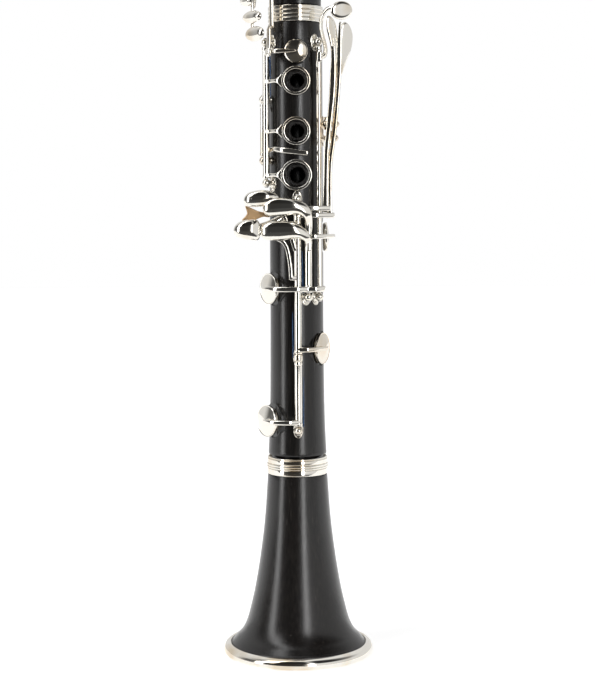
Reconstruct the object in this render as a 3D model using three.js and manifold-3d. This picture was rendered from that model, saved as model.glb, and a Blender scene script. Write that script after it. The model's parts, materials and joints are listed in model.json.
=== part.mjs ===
// A B flat soprano clarinet, assembled and standing on its bell. Millimetres, +Z up.
// The bore is the Z axis, the finger holes face -Y, and the origin is the middle of the bell's rim.
import * as THREE from 'three';
import { mergeVertices } from 'three/addons/utils/BufferGeometryUtils.js';
import Module from 'manifold-3d';

const wasm = await Module();
wasm.setup();

// Heights along the body.
const BELL_TOP = 103.8;
const LOWER_BOTTOM = 105.1;
const LOWER_TOP = 343.4;
const UPPER_BOTTOM = 343.8;
const UPPER_TOP = 529;
const BARREL_BOTTOM = 529.4;
const BARREL_TOP = 594;
const MOUTHPIECE_SHOULDER = 594.4;
const TIP = 667;

// Radii of the body and bore.
const BORE = 7.4;
const LOWER_RADIUS = 14.2;
const UPPER_RADIUS = 13.7;
const TENON = 11;
const SOCKET = 12.3;
const CORK = 12;
const BELL_RIM = 39.9;

// Keywork.
const ROD = 0.75;
const TUBE_BORE = 1.1;
const TUBE = 1.8;
const BALL = 2.2;
const GAP = 0.3;
const FINGER_RING = 7.5;
const RING_THICKNESS = 1.6;
const CUP_HEIGHT = 3.5;

// The angle of the lower joint's finger holes, a little to the right of the front.
const LOWER_HOLES = 2.5;

// Hinge lines parallel to the bore: where each crosses a level plane.
const RING_HINGE = [-15.8, -9.6];
const CROSS_B_HINGE = [-17.4, -5.65];
const RIGHT_HAND_HINGE = [6.1, -17.6];
const LOW_HINGE = [0.6, -18.4];
const LEFT_F_HINGE = [12, -12.6];
const UPPER_RING_HINGE = [-15.4, -9.4];
const CROSS_E_FLAT_HINGE = [-17, -5.3];
const THUMB_HINGE = [15, 10.6];
const G_SHARP_HINGE = [13.4, -12.1];
const C_SHARP_HINGE = [16, -8.4];

// How far the keys that stand open are turned from where they close, in degrees.
const RING_LIFT = 4.5;
const UPPER_RING_LIFT = 4.5;
const F_LIFT = 7;
const E_LIFT = 10;
// The large pads of the lower joint: angle, distance of the closed pad from the bore, height and radius.
const A_FLAT_PAD = [90, 14.1, 220.7, 7.8];
const F_PAD = [-63, 13.6, 193.5, 8.3];
const F_SHARP_PAD = [65, 13.4, 161.7, 8.4];
const E_PAD = [-62, 14.6, 123.8, 8.5];
const LOW_PADS = [A_FLAT_PAD, F_PAD, F_SHARP_PAD, E_PAD];

const UP = new THREE.Vector3(0, 0, 1);
const grenadilla = new THREE.MeshStandardMaterial({ color: 0x17130f, roughness: 0.42, metalness: 0 });
const ebonite = new THREE.MeshStandardMaterial({ color: 0x0d0d0e, roughness: 0.25, metalness: 0 });
const silver = new THREE.MeshStandardMaterial({ color: 0xd8d6d0, roughness: 0.14, metalness: 1 });
const steel = new THREE.MeshStandardMaterial({ color: 0xa9abad, roughness: 0.3, metalness: 1 });
const cork = new THREE.MeshStandardMaterial({ color: 0xb08455, roughness: 0.9, metalness: 0 });
const cane = new THREE.MeshStandardMaterial({ color: 0xd9bd7c, roughness: 0.7, metalness: 0 });

const clarinet = new THREE.Group();

// Solids -----------------------------------------------------------------------------------------

function solid(geometry) {
  const bare = geometry.clone();
  bare.deleteAttribute('normal');
  bare.deleteAttribute('uv');
  const merged = mergeVertices(bare, 1e-5);
  return new wasm.Manifold(new wasm.Mesh({
    numProp: 3,
    vertProperties: new Float32Array(merged.attributes.position.array),
    triVerts: new Uint32Array(merged.index.array),
  }));
}

function join(pieces) {
  return pieces.map(solid).reduce((whole, piece) => whole.add(piece));
}

function cut(whole, pieces) {
  return pieces.map(solid).reduce((rest, piece) => rest.subtract(piece), whole);
}

function addNode(name, material, shape) {
  const mesh = shape.getMesh();
  const geometry = new THREE.BufferGeometry();
  geometry.setAttribute('position', new THREE.BufferAttribute(mesh.vertProperties, 3));
  geometry.setIndex(new THREE.BufferAttribute(mesh.triVerts, 1));
  geometry.computeVertexNormals();
  const node = new THREE.Mesh(geometry, material);
  node.name = name;
  clarinet.add(node);
}

// Places on and round the body --------------------------------------------------------------------

// The outward direction at an angle from the front, positive towards +X.
function outward(degrees) {
  const angle = THREE.MathUtils.degToRad(degrees);
  return new THREE.Vector3(Math.sin(angle), -Math.cos(angle), 0);
}

// A frame on the body: local X runs round it, local Y up it, local Z outward.
function onBody(degrees, radius, z) {
  const out = outward(degrees);
  const along = new THREE.Vector3().crossVectors(UP, out);
  const matrix = new THREE.Matrix4().makeBasis(along, UP, out);
  return matrix.setPosition(out.clone().multiplyScalar(radius).setZ(z));
}

// A frame whose local Z is a given direction and whose local Y is as near to up as it can be.
function facing(origin, direction) {
  const out = direction.clone().normalize();
  const helper = Math.abs(out.z) > 0.99 ? new THREE.Vector3(0, 1, 0) : UP;
  const along = new THREE.Vector3().crossVectors(helper, out).normalize();
  const upward = new THREE.Vector3().crossVectors(out, along);
  return new THREE.Matrix4().makeBasis(along, upward, out).setPosition(origin);
}

function radiusAt(hinge) {
  return Math.hypot(hinge[0], hinge[1]);
}

function angleAt(hinge) {
  return THREE.MathUtils.radToDeg(Math.atan2(hinge[0], -hinge[1]));
}

// Basic shapes --------------------------------------------------------------------------------------

// A turned shape about local Z from [radius, height] points.
function turned(profile, sides) {
  const points = profile.map(([radius, height]) => new THREE.Vector2(radius, height));
  return new THREE.LatheGeometry(points, sides).rotateX(Math.PI / 2);
}

function rod(from, to, radius, sides = 8) {
  const span = to.clone().sub(from);
  const profile = [[0, 0], [radius, 0], [radius, span.length()], [0, span.length()]];
  return turned(profile, sides).applyMatrix4(facing(from, span));
}

// The barrel of a hinge, solid until the finished key is bored for its rod.
function hingeBarrel(hinge, bottom, top, outer = TUBE) {
  const profile = [[0, bottom], [outer, bottom], [outer, top], [0, top]];
  return turned(profile, 8).translate(hinge[0], hinge[1], 0);
}

// A flat plate: an outline in local X and Y, with its thickness along local Z.
function plate(outline, thickness, matrix) {
  const shape = new THREE.Shape(outline.map(([x, y]) => new THREE.Vector2(x, y)));
  const geometry = new THREE.ExtrudeGeometry(shape, { depth: thickness, bevelEnabled: false });
  return geometry.applyMatrix4(matrix);
}

// The outline of a strip of even width along a path of flat points.
function strip(path, width) {
  const points = path.map(([x, y]) => new THREE.Vector2(x, y));
  const left = [];
  const right = [];
  points.forEach((point, i) => {
    const before = points[Math.max(i - 1, 0)];
    const after = points[Math.min(i + 1, points.length - 1)];
    const a = (i > 0 ? point.clone().sub(before) : after.clone().sub(point)).normalize();
    const b = (i < points.length - 1 ? after.clone().sub(point) : a.clone()).normalize();
    const normal = new THREE.Vector2(-(a.y + b.y), a.x + b.x).normalize();
    const reach = width / 2 / Math.max(normal.dot(new THREE.Vector2(-a.y, a.x)), 0.5);
    left.push([point.x + normal.x * reach, point.y + normal.y * reach]);
    right.unshift([point.x - normal.x * reach, point.y - normal.y * reach]);
  });
  return [...right.reverse(), ...left.reverse()];
}

// A key arm that runs round the body at one height: a path in the level plane.
function arm(path, z, height, thickness = 1.5) {
  const matrix = new THREE.Matrix4().makeTranslation(0, 0, z - height / 2);
  return plate(strip(path, thickness), height, matrix);
}

// A point in the level plane at an angle from the front.
function at(degrees, radius) {
  const out = outward(degrees);
  return [out.x * radius, out.y * radius];
}

function oval(halfWidth, halfHeight, x = 0, y = 0, turn = 0, count = 14) {
  const angle = THREE.MathUtils.degToRad(turn);
  return Array.from({ length: count }, (_, i) => {
    const t = (i / count) * 2 * Math.PI;
    const u = halfWidth * Math.cos(t);
    const v = halfHeight * Math.sin(t);
    return [x + u * Math.cos(angle) - v * Math.sin(angle), y + u * Math.sin(angle) + v * Math.cos(angle)];
  });
}

// A key's cup with its pad, seated at a radius from the bore.
function padCup(degrees, seat, z, radius) {
  const profile = [[0, 0], [radius, 0], [radius, CUP_HEIGHT - 0.8], [0, CUP_HEIGHT]];
  return turned(profile, 12).applyMatrix4(onBody(degrees, seat, z));
}

function fingerRing(degrees, radius, z, outer = FINGER_RING) {
  const inner = outer - 1.7;
  const profile = [[inner, 0], [outer, 0], [outer, RING_THICKNESS], [inner, RING_THICKNESS], [inner, 0]];
  return turned(profile, 16).applyMatrix4(onBody(degrees, radius, z));
}

// Stems are short where the wall is thin, over the socket at the top of the lower joint.
function stemDepth(z) {
  return z > 320 && z < LOWER_TOP ? 1 : 2.4;
}

// A ball headed post on its foot, standing outward, with its ball at a distance from the bore.
function post(degrees, body, ballRadius, z, ball = BALL) {
  const height = ballRadius - body;
  const profile = [[0, -stemDepth(z)], [1.2, -stemDepth(z)], [1.2, 0.35], [3.1, 0.35], [1.2, 1.3], [1.2, height - 1.7],
    [ball, height - 0.7], [ball, height + 0.7], [0, height + ball]];
  return turned(profile, 6).applyMatrix4(onBody(degrees, body, z));
}

function postSocket(degrees, body, z) {
  const depth = stemDepth(z) + 0.4;
  const profile = [[0, -depth], [1.5, -depth], [1.5, 4], [0, 4]];
  return turned(profile, 6).applyMatrix4(onBody(degrees, body, z));
}

// A hole bored from the bore outward, with a flat seat sunk round it where a pad closes it.
function toneHole(degrees, z, radius) {
  const profile = [[0, 4], [radius, 4], [radius, 22], [0, 22]];
  return turned(profile, 8).applyMatrix4(onBody(degrees, 0, z));
}

function padSeat(degrees, z, radius, seat) {
  const profile = [[0, seat - GAP], [radius, seat - GAP], [radius, 22], [0, 22]];
  return turned(profile, 12).applyMatrix4(onBody(degrees, 0, z));
}

function chimney(degrees, z, radius, top) {
  const profile = [[0, 9], [radius + 0.8, 9], [radius, top], [0, top]];
  return turned(profile, 12).applyMatrix4(onBody(degrees, 0, z));
}

// Joins a key's pieces, turned about its hinge from where it closes, and bores it for its rod.
function hingedKey(pieces, hinge, degrees = 0, bore = TUBE_BORE) {
  const angle = THREE.MathUtils.degToRad(degrees);
  const turnedPieces = pieces.map((piece) => piece.translate(-hinge[0], -hinge[1], 0).rotateZ(angle)
    .translate(hinge[0], hinge[1], 0));
  return cut(join(turnedPieces), [hingeBarrel(hinge, 100, 480, bore)]);
}

// A straight bar between two points, its broad face turned outward.
function bar(from, to, width, thickness) {
  const span = to.clone().sub(from);
  const middle = from.clone().add(to).multiplyScalar(0.5);
  const out = new THREE.Vector3(middle.x, middle.y, 0);
  const along = span.clone().normalize();
  const across = new THREE.Vector3().crossVectors(along, out).normalize();
  const normal = new THREE.Vector3().crossVectors(across, along);
  const matrix = new THREE.Matrix4().makeBasis(across, along, normal).setPosition(middle);
  return new THREE.BoxGeometry(width, span.length(), thickness).applyMatrix4(matrix);
}

// Wooden body ------------------------------------------------------------------------------------------

// The heights of the posts on each hinge line; the body gets a socket under each post.
const LOWER_POSTS = {
  ring: [249.4, 323.6],
  crossB: [261.4, 293.8],
  rightHand: [189.3, 234],
  low: [119.6, 240.9],
  lowMiddle: [157.8],
  leftF: [189.3, 323.6],
};
const UPPER_POSTS = {
  ring: [350.2, 424.6, 459.2],
  crossEFlat: [369.5, 384.5],
  thumb: [437, 459.5],
  gSharp: [438, 461],
  cSharp: [349.6, 377],
};
// The pins of the rocking keys: the angle at which each lies square to the body, its post, and its end.
const PIN_RADIUS = 18.7;
const REGISTER_PIN = { square: 180, post: 197, end: 176, z: 490 };
const THROAT_A_PIN = { square: 5, post: 24, end: 1, z: 463 };

// The left little finger's rocking levers: foot, head, and the height of the pin each rocks on.
const INNER_LEVER = { foot: [15.2, -16.8, 234.2], head: [19.7, -13.5, 318], pin: 280.6, post: 8 };
const OUTER_LEVER = { foot: [17.4, -14.9, 231.2], head: [22.5, -10.5, 313], pin: 273.2, post: 5 };

// The four side keys, from the lowest touch: the angles of bar and pad, the outline box of the touch,
// and the arm from bar to touch, as [angle, radius], which passes outside the bars in front of it.
const SIDE_KEYS = [
  { bar: -84, pad: [-100, 374], pin: 0, touch: [-15.2, -0.5, 324.5, 332.5], reach: [[-84, 20.8], [-76.5, 24.6]] },
  { bar: -95, pad: [-95, 430], pin: 1, touch: [-17.3, -2.7, 334.3, 341],
    reach: [[-95, 20.8], [-94.5, 25.2], [-83.5, 26.4]] },
  { bar: -106, pad: [-106, 488], pin: 2, touch: [-19.5, -9.2, 343.6, 350],
    reach: [[-106, 20.8], [-105.5, 25.4], [-92, 26.6], [-85, 27.2]] },
  { bar: -117, pad: [-117, 502], pin: 2, touch: [-21.5, -11.5, 352.5, 359],
    reach: [[-117, 20.8], [-116.5, 25.4], [-100, 27], [-86, 27.6]] },
];
const SIDE_PINS = [
  { name: 'side_key_1_pivot', square: -84, post: -72, end: -88, z: 357.5 },
  { name: 'side_key_2_pivot', square: -95, post: -82, end: -99, z: 404 },
  { name: 'side_keys_back_pivot', square: -111.5, post: -134, end: -102, z: 425 },
];

function bell() {
  const outer = [[30.2, 0], [35.6, 0], [35.6, 5.2], [33, 8], [30, 11.2], [27.4, 16.4], [25.2, 24], [22.7, 35.1],
    [20, 51.2], [17.6, 70.4], [15.9, 94.5], [14.9, 94.5], [14.9, 103], [13.7, BELL_TOP]];
  const inner = [[SOCKET, BELL_TOP], [SOCKET, 84], [9.6, 84], [12.2, 60], [17, 31], [24, 9], [30.2, 0]];
  return join([turned([...outer, ...inner], 30)]);
}

function lowerJoint() {
  const profile = [[9, 84.6], [TENON, 84.6], [TENON, 87], [10.2, 87], [10.2, 101.6], [TENON, 101.6],
    [TENON, LOWER_BOTTOM], [14.8, LOWER_BOTTOM], [15.5, 105.8], [15.3, 110], [14.8, 120], [14.4, 140],
    [LOWER_RADIUS, 175], [LOWER_RADIUS, 334.4], [13.2, 334.4], [13.2, LOWER_TOP], [SOCKET, LOWER_TOP],
    [SOCKET, 321.5], [BORE, 321.5], [BORE, 165], [9, 84.6]];
  const body = join([turned(profile, 24), chimney(LOWER_HOLES, 303, 4.9, 17.2),
    chimney(LOWER_HOLES, 276.6, 4.9, 17.2), chimney(LOWER_HOLES, 253.5, 5.4, 17.2),
    ...LOW_PADS.map(([degrees, seat, z, radius]) => chimney(degrees, z, radius, seat - GAP))]);
  const seats = [padSeat(LOWER_HOLES, 318.5, 6.6, 14), padSeat(-95, 311, 5.8, 13.6),
    ...LOW_PADS.map(([degrees, seat, z, radius]) => padSeat(degrees, z, radius + 0.5, seat))];
  const holes = [toneHole(LOWER_HOLES, 303, 3.9), toneHole(LOWER_HOLES, 276.6, 3.8),
    toneHole(LOWER_HOLES, 253.5, 4.4), toneHole(LOWER_HOLES, 318.5, 2.6), toneHole(-95, 311, 2.4),
    ...LOW_PADS.map(([degrees, , z, radius]) => toneHole(degrees, z, radius * 0.69))];
  const sockets = [
    ...LOWER_POSTS.ring.map((z) => postSocket(angleAt(RING_HINGE), LOWER_RADIUS, z)),
    ...LOWER_POSTS.crossB.map((z) => postSocket(angleAt(CROSS_B_HINGE), LOWER_RADIUS, z)),
    ...LOWER_POSTS.rightHand.map((z) => postSocket(angleAt(RIGHT_HAND_HINGE), LOWER_RADIUS, z)),
    ...[...LOWER_POSTS.low, ...LOWER_POSTS.lowMiddle].map((z) => postSocket(angleAt(LOW_HINGE),
      LOWER_RADIUS, z)),
    ...LOWER_POSTS.leftF.map((z) => postSocket(angleAt(LEFT_F_HINGE), LOWER_RADIUS, z)),
    ...[INNER_LEVER, OUTER_LEVER].map((lever) => postSocket(leverPost(lever)[0], LOWER_RADIUS, lever.pin)),
    postSocket(180, LOWER_RADIUS, 296),
  ];
  return cut(body, [...seats, ...holes, ...sockets]);
}

function upperJoint() {
  const profile = [[BORE, 322.2], [TENON, 322.2], [TENON, 325], [10.2, 325], [10.2, 340], [TENON, 340],
    [TENON, UPPER_BOTTOM], [UPPER_RADIUS, UPPER_BOTTOM], [UPPER_RADIUS, UPPER_TOP], [TENON, UPPER_TOP],
    [TENON, 531.4], [10.2, 531.4], [10.2, 543], [TENON, 543], [TENON, 546.5], [BORE, 546.5], [BORE, 322.2]];
  const body = join([turned(profile, 24), chimney(0, 424, 4.7, 16.7), chimney(0, 402, 4.7, 16.7),
    chimney(0, 367, 4.8, 16.5)]);
  const seats = [padSeat(20, 352.5, 5.7, 13.4), padSeat(0, 387.5, 5.3, 13.5), padSeat(0, 452, 5.4, 13.5),
    padSeat(-95, 393, 5.2, 13.2), padSeat(-100, 374, 5.2, 13.2), padSeat(-95, 430, 5.2, 13.2),
    padSeat(-106, 488, 5.2, 13.2), padSeat(-117, 502, 5.2, 13.2), padSeat(0, 480, 5, 13.4),
    padSeat(80, 467, 5, 13.4)];
  const holes = [toneHole(0, 424, 3.6), toneHole(0, 402, 3.6), toneHole(0, 367, 3.8), toneHole(20, 352.5, 2.6),
    toneHole(0, 387.5, 2.4), toneHole(0, 452, 2.6), toneHole(-95, 393, 2.4), toneHole(-100, 374, 2.4),
    toneHole(-95, 430, 2.2), toneHole(-106, 488, 2.2), toneHole(-117, 502, 2.2), toneHole(0, 480, 2.2),
    toneHole(80, 467, 2.2), toneHole(180, 452, 6.9), toneHole(180, 513, 3.8)];
  const sockets = [
    ...UPPER_POSTS.ring.map((z) => postSocket(angleAt(UPPER_RING_HINGE), UPPER_RADIUS, z)),
    ...UPPER_POSTS.crossEFlat.map((z) => postSocket(angleAt(CROSS_E_FLAT_HINGE), UPPER_RADIUS, z)),
    ...UPPER_POSTS.thumb.map((z) => postSocket(angleAt(THUMB_HINGE), UPPER_RADIUS, z)),
    ...UPPER_POSTS.gSharp.map((z) => postSocket(angleAt(G_SHARP_HINGE), UPPER_RADIUS, z)),
    ...UPPER_POSTS.cSharp.map((z) => postSocket(angleAt(C_SHARP_HINGE), UPPER_RADIUS, z)),
    ...SIDE_PINS.map((pin) => postSocket(pin.post, UPPER_RADIUS, pin.z)),
    postSocket(REGISTER_PIN.post, UPPER_RADIUS, REGISTER_PIN.z),
    postSocket(THROAT_A_PIN.post, UPPER_RADIUS, THROAT_A_PIN.z),
  ];
  return cut(body, [...seats, ...holes, ...sockets]);
}

function barrel() {
  const profile = [[11.9, BARREL_BOTTOM], [15.2, BARREL_BOTTOM], [15.2, 534.4], [16.5, 534.4], [17.1, 555],
    [16.1, 588.4], [14.9, 588.4], [14.9, BARREL_TOP], [11.9, BARREL_TOP],
    [11.9, 577], [7.5, 577], [7.5, 547], [11.9, 547], [11.9, BARREL_BOTTOM]];
  return join([turned(profile, 24)]);
}

function socketRing(bottom, top, inner, outer) {
  const groove = outer - 0.45;
  const height = top - bottom;
  const profile = [[inner, bottom], [outer, bottom], [outer, bottom + 0.45 * height],
    [groove, bottom + 0.5 * height], [outer, bottom + 0.55 * height], [outer, top], [inner, top],
    [inner, bottom]];
  return join([turned(profile, 24)]);
}

function collar(bottom, top, inner, outer) {
  const profile = [[inner, bottom], [outer, bottom], [outer, top], [inner, top], [inner, bottom]];
  return join([turned(profile, 16)]);
}

function bellRimRing() {
  const profile = [[35.9, 0], [39.3, 0], [BELL_RIM, 0.7], [BELL_RIM, 3.8], [38.6, 5.1], [35.9, 5.5], [35.9, 0]];
  return join([turned(profile, 32)]);
}

// Mouthpiece end ------------------------------------------------------------------------------------------

const TABLE = 8.4;

function mouthpiece() {
  const profile = [[BORE, 577.4], [10.6, 577.4], [10.6, 579.6], [9.9, 579.6], [9.9, 591], [10.6, 591],
    [10.6, MOUTHPIECE_SHOULDER], [13.4, MOUTHPIECE_SHOULDER], [13.7, 597], [13.2, 606], [12.6, 630],
    [12, TIP], [0, TIP], [0, 632], [BORE, 622], [BORE, 577.4]];
  const body = join([turned(profile, 20)]);
  const side = new THREE.Matrix4().makeBasis(new THREE.Vector3(0, 1, 0), UP, new THREE.Vector3(1, 0, 0));
  side.setPosition(-20, 0, 0);
  const beak = plate([[-16, 632], [-12.4, 632.4], [-9, 638], [7.4, TIP + 0.2], [7.4, 670], [-16, 670]], 40, side);
  const facing = [[TABLE, 599], [16, 599], [16, 670], [TABLE - 1, 670], [TABLE - 1, TIP], [TABLE, 640]];
  const table = plate(facing, 40, side);
  const window = new THREE.BoxGeometry(11, 12, 30).translate(0, 4.5, 646);
  return cut(body, [beak, table, window]);
}

function reed() {
  const side = new THREE.Matrix4().makeBasis(new THREE.Vector3(0, 1, 0), UP, new THREE.Vector3(1, 0, 0));
  side.setPosition(-6.4, 0, 0);
  const back = TABLE + GAP;
  const outline = [[back, 600], [back + 2.9, 600], [back + 2.9, 634], [back + 1.5, 645], [back + 0.35, 666.4],
    [back, 666.4]];
  return join([plate(outline, 12.8, side)]);
}

function ligature() {
  const profile = [[14.3, 606], [15.2, 606], [15.2, 630], [14.3, 630], [14.3, 606]];
  const band = turned(profile, 20);
  const lugs = [];
  for (const z of [611.5, 624.5]) {
    lugs.push(new THREE.BoxGeometry(2.6, 4.4, 6).translate(-3.3, 16.6, z));
    lugs.push(new THREE.BoxGeometry(2.6, 4.4, 6).translate(3.3, 16.6, z));
  }
  const holes = [];
  for (const z of [611.5, 624.5]) {
    holes.push(rod(new THREE.Vector3(-8, 17, z), new THREE.Vector3(8, 17, z), 1.15));
  }
  return cut(join([band, ...lugs]), holes);
}

function ligatureScrew(z) {
  const shaft = rod(new THREE.Vector3(-5.4, 17, z), new THREE.Vector3(6, 17, z), 0.8);
  const head = rod(new THREE.Vector3(5.2, 17, z), new THREE.Vector3(7, 17, z), 2);
  const thumbPiece = new THREE.BoxGeometry(6, 1.6, 5.4).translate(9.6, 17, z);
  return join([shaft, head, thumbPiece]);
}

function thumbRest() {
  const foot = plate(oval(5.4, 10, 0, 0, 0, 12), 1.3, onBody(180, LOWER_RADIUS + GAP, 290));
  const stem = rod(new THREE.Vector3(0, 11.8, 296), new THREE.Vector3(0, 16, 296), 1.2);
  const side = new THREE.Matrix4().makeBasis(new THREE.Vector3(0, 1, 0), UP, new THREE.Vector3(1, 0, 0));
  side.setPosition(-5, 0, 0);
  const hook = plate([[15, 280], [16.8, 280.5], [19, 284.6], [25, 287.2], [33, 287.2], [33, 289], [24.6, 289],
    [18, 286.6], [15, 283]], 10, side);
  return join([foot, stem, hook]);
}

// A sleeve through the body wall, with a collar outside.
function bush(z, inner, outer, top) {
  const profile = [[inner, 7.6], [outer, 7.6], [outer, top], [inner, top], [inner, 7.6]];
  const sleeve = turned(profile, 12).applyMatrix4(onBody(180, 0, z));
  return join([sleeve]);
}

// Posts -------------------------------------------------------------------------------------------------

// All the posts of a hinge line, joined by the rod on which its keys turn.
function hingePosts(hinge, body, heights) {
  const degrees = angleAt(hinge);
  const posts = heights.map((z) => post(degrees, body, radiusAt(hinge), z));
  const low = new THREE.Vector3(hinge[0], hinge[1], heights[0]);
  const high = new THREE.Vector3(hinge[0], hinge[1], heights[heights.length - 1]);
  return join([...posts, rod(low, high, ROD)]);
}

// A post with a pin standing out of its ball, on which rocking levers turn.
function pinPost(degrees, body, ballRadius, z, end) {
  const start = new THREE.Vector3(...at(degrees, ballRadius), z);
  return join([post(degrees, body, ballRadius, z, 1.9), rod(start, end, ROD)]);
}

function middlePost() {
  const [x, y] = LOW_HINGE;
  const profile = [[1.65, 155.9], [2.3, 155.9], [2.3, 159.7], [1.65, 159.7], [1.65, 155.9]];
  const eye = turned(profile, 10).translate(x, y, 0);
  const stem = rod(new THREE.Vector3(0.39, -11.8, 157.8), new THREE.Vector3(0.54, -16.5, 157.8), 1.2);
  return join([stem, eye]);
}

// Lower keys --------------------------------------------------------------------------------------------

// A ring or cup arm that leaves a hinge on the left and comes round to the front.
function frontArm(hinge, z, height, reach, radius) {
  const path = [[hinge[0] + 0.3, hinge[1] - 1.2], [-13, -radius + 4.4], [-9.4, -radius + 0.9], [reach, -radius]];
  return arm(path, z, height);
}

function lowerRingKey() {
  const pieces = [hingeBarrel(RING_HINGE, 251.9, 321.1), padCup(LOWER_HOLES, 14, 318.5, 6.2)];
  for (const [z, outer] of [[303, 7.6], [276.6, 7.5], [253.5, 8.2]]) {
    pieces.push(fingerRing(LOWER_HOLES, 15.9, z, outer));
    pieces.push(frontArm(RING_HINGE, z, 3, -6.6, 16.8));
  }
  pieces.push(frontArm(RING_HINGE, 318.5, 3, 0.5, 17.8));
  pieces.push(new THREE.BoxGeometry(3, 3, 3.4).applyMatrix4(onBody(-40, 20, 318.5)));
  pieces.push(plate(strip([[0, 317], [0, 333]], 3), 1.3, onBody(-40, 20.4, 0)));
  return hingedKey(pieces, RING_HINGE, -RING_LIFT);
}

// A key across the front: its cup is on the left and its touch comes round under the ring keys' barrel.
function crossKey(hinge, barrel, cup, radius, seat, strap, touchPath, touchZ) {
  const pieces = [hingeBarrel(hinge, barrel[0], barrel[1], 1.6), padCup(cup[0], seat, cup[1], radius)];
  pieces.push(plate(strip(strap, 2.8), 1.4, onBody(cup[0], seat + 3, 0)));
  pieces.push(arm(touchPath, touchZ, 2.5, 1.1));
  return hingedKey(pieces, hinge);
}

function crossBKey() {
  const strap = [[6.9, 288.6], [1.2, 289.4], [0, 292.4], [0, 311]];
  const path = [at(-72, 17.1), at(-63, 15.5), at(-52, 15.8), at(-40, 17), at(-18, 17.9), [5.8, -18.4]];
  return crossKey(CROSS_B_HINGE, [263.9, 291.3], [-95, 311], 5.3, 13.6, strap, path, 266.2);
}

function frontPlate(outline, front, thickness) {
  return plate(outline, thickness, facing(new THREE.Vector3(0, front, 0), new THREE.Vector3(0, -1, 0)));
}

// The straight bars of a key that joins points in space.
function bars(points, width, thickness) {
  const ends = points.map((point) => new THREE.Vector3(...point));
  return ends.slice(1).map((end, i) => bar(ends[i], end, width, thickness));
}

function aFlatKey() {
  const outline = [[7.4, 223], [7.6, 236], [6.4, 240.4], [2, 242], [-4, 241.6], [-9, 239.4], [-13.4, 237.4],
    [-16.6, 235.4], [-14.6, 232.6], [-8, 232], [0, 233], [4.4, 232.6], [4.8, 223]];
  const pieces = [hingeBarrel(RIGHT_HAND_HINGE, 219.3, 231.3, 2), frontPlate(outline, -23.3, 1.7)];
  pieces.push(new THREE.BoxGeometry(2.6, 5, 7).translate(6.1, -21.4, 225.9));
  pieces.push(padCup(...A_FLAT_PAD));
  pieces.push(arm([[6.1, -18.4], [9.6, -19.8], [15.8, -16.4], [19.6, -9.6], [18.9, -3], [17.1, 0]], 221.2, 3));
  return hingedKey(pieces, RIGHT_HAND_HINGE);
}

function fKey() {
  const outline = [[7, 214.6], [6.6, 218.8], [5.4, 221.4], [3.4, 222.2], [2.6, 227.6], [-1, 229.8], [-8, 229.8],
    [-15, 227.6], [-18.6, 223.4], [-15, 220], [-7, 219.4], [0, 221], [3.6, 219.6], [4.2, 214.6]];
  const pieces = [hingeBarrel(RIGHT_HAND_HINGE, 191.9, 218.9, 2), frontPlate(outline, -22, 1.7)];
  pieces.push(new THREE.BoxGeometry(2.6, 4.6, 4.8).translate(6.1, -20.6, 216.4));
  pieces.push(padCup(...F_PAD));
  pieces.push(arm([[14.4, -18.6], [10, -20.9], [5.4, -20.2], [0.8, -21.8], [-4.4, -21.2], [-10.8, -18.6],
    [-16, -13], [-17, -9.4], [-15, -7.7]], 193.7, 3));
  pieces.push(new THREE.BoxGeometry(2.4, 2.6, 3).translate(6.1, -19.5, 193.7));
  return hingedKey(pieces, RIGHT_HAND_HINGE, F_LIFT);
}

function fSharpKey() {
  const outline = [[-8.6, 242.6], [-10.5, 244.6], [-15, 245.6], [-20, 245.2], [-25, 242.8], [-27, 239.8],
    [-24.5, 237.4], [-19, 236.9], [-14.5, 238.6], [-10.5, 240.4]];
  const pieces = [hingeBarrel(LOW_HINGE, 160.3, 233.7, 1.95), frontPlate(outline, -22.4, 1.7)];
  pieces.push(new THREE.BoxGeometry(2.4, 4.6, 2.2).translate(-11, -21, 241.6));
  pieces.push(...bars([[-11, -19.8, 242.2], [-5, -19.9, 228], [-0.6, -19.7, 215]], 2.2, 1.2));
  pieces.push(padCup(...F_SHARP_PAD));
  pieces.push(arm([[0.8, -19.4], [6, -20.2], [12, -16.2], [15.8, -10.2], [14.6, -6.8]], 162, 2.8));
  pieces.push(arm([[0.8, -19.6], [3.2, -21], [7.6, -21], [12.4, -20.4], [19.6, -16.4]], 232.3, 2.4, 1.3));
  return hingedKey(pieces, LOW_HINGE, 0, 1.6);
}

function eKey() {
  const outline = [[-19.6, 219.8], [-19.9, 226.4], [-21, 229.8], [-24, 230.4], [-30, 228.4], [-33, 225],
    [-31, 221.6], [-24, 219.6]];
  const pieces = [hingeBarrel(LOW_HINGE, 122.1, 238.4, 1.35), frontPlate(outline, -19.6, 1.7)];
  pieces.push(hingeBarrel(LOW_HINGE, 122.1, 155.6, 1.95));
  pieces.push(hingeBarrel(LOW_HINGE, 234, 238.4, 1.95));
  pieces.push(new THREE.BoxGeometry(2.6, 4.4, 4).translate(-21.4, -18.5, 224.6));
  pieces.push(...bars([[0, -18.2, 236.2], [-4, -16.4, 234.6], [-8.4, -15.4, 231], [-21, -17, 225.4]], 2.2, 1.2));
  pieces.push(...bars([[-21, -17.4, 224], [-5.6, -19.2, 218], [-3.8, -19.6, 206], [-3.6, -19.8, 199]], 2, 1.2));
  pieces.push(padCup(...E_PAD));
  pieces.push(arm([[0.4, -19.6], [-5.6, -20.4], [-12.6, -17], [-16.4, -11.8], [-15.7, -8.5]], 124, 2.8));
  pieces.push(arm([[0.8, -19.6], [2.7, -21.4], [7, -22.2], [12.2, -22.2], [17.5, -20.8]], 236, 2.4, 1.3));
  return hingedKey(pieces, LOW_HINGE, E_LIFT, 1);
}

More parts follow.
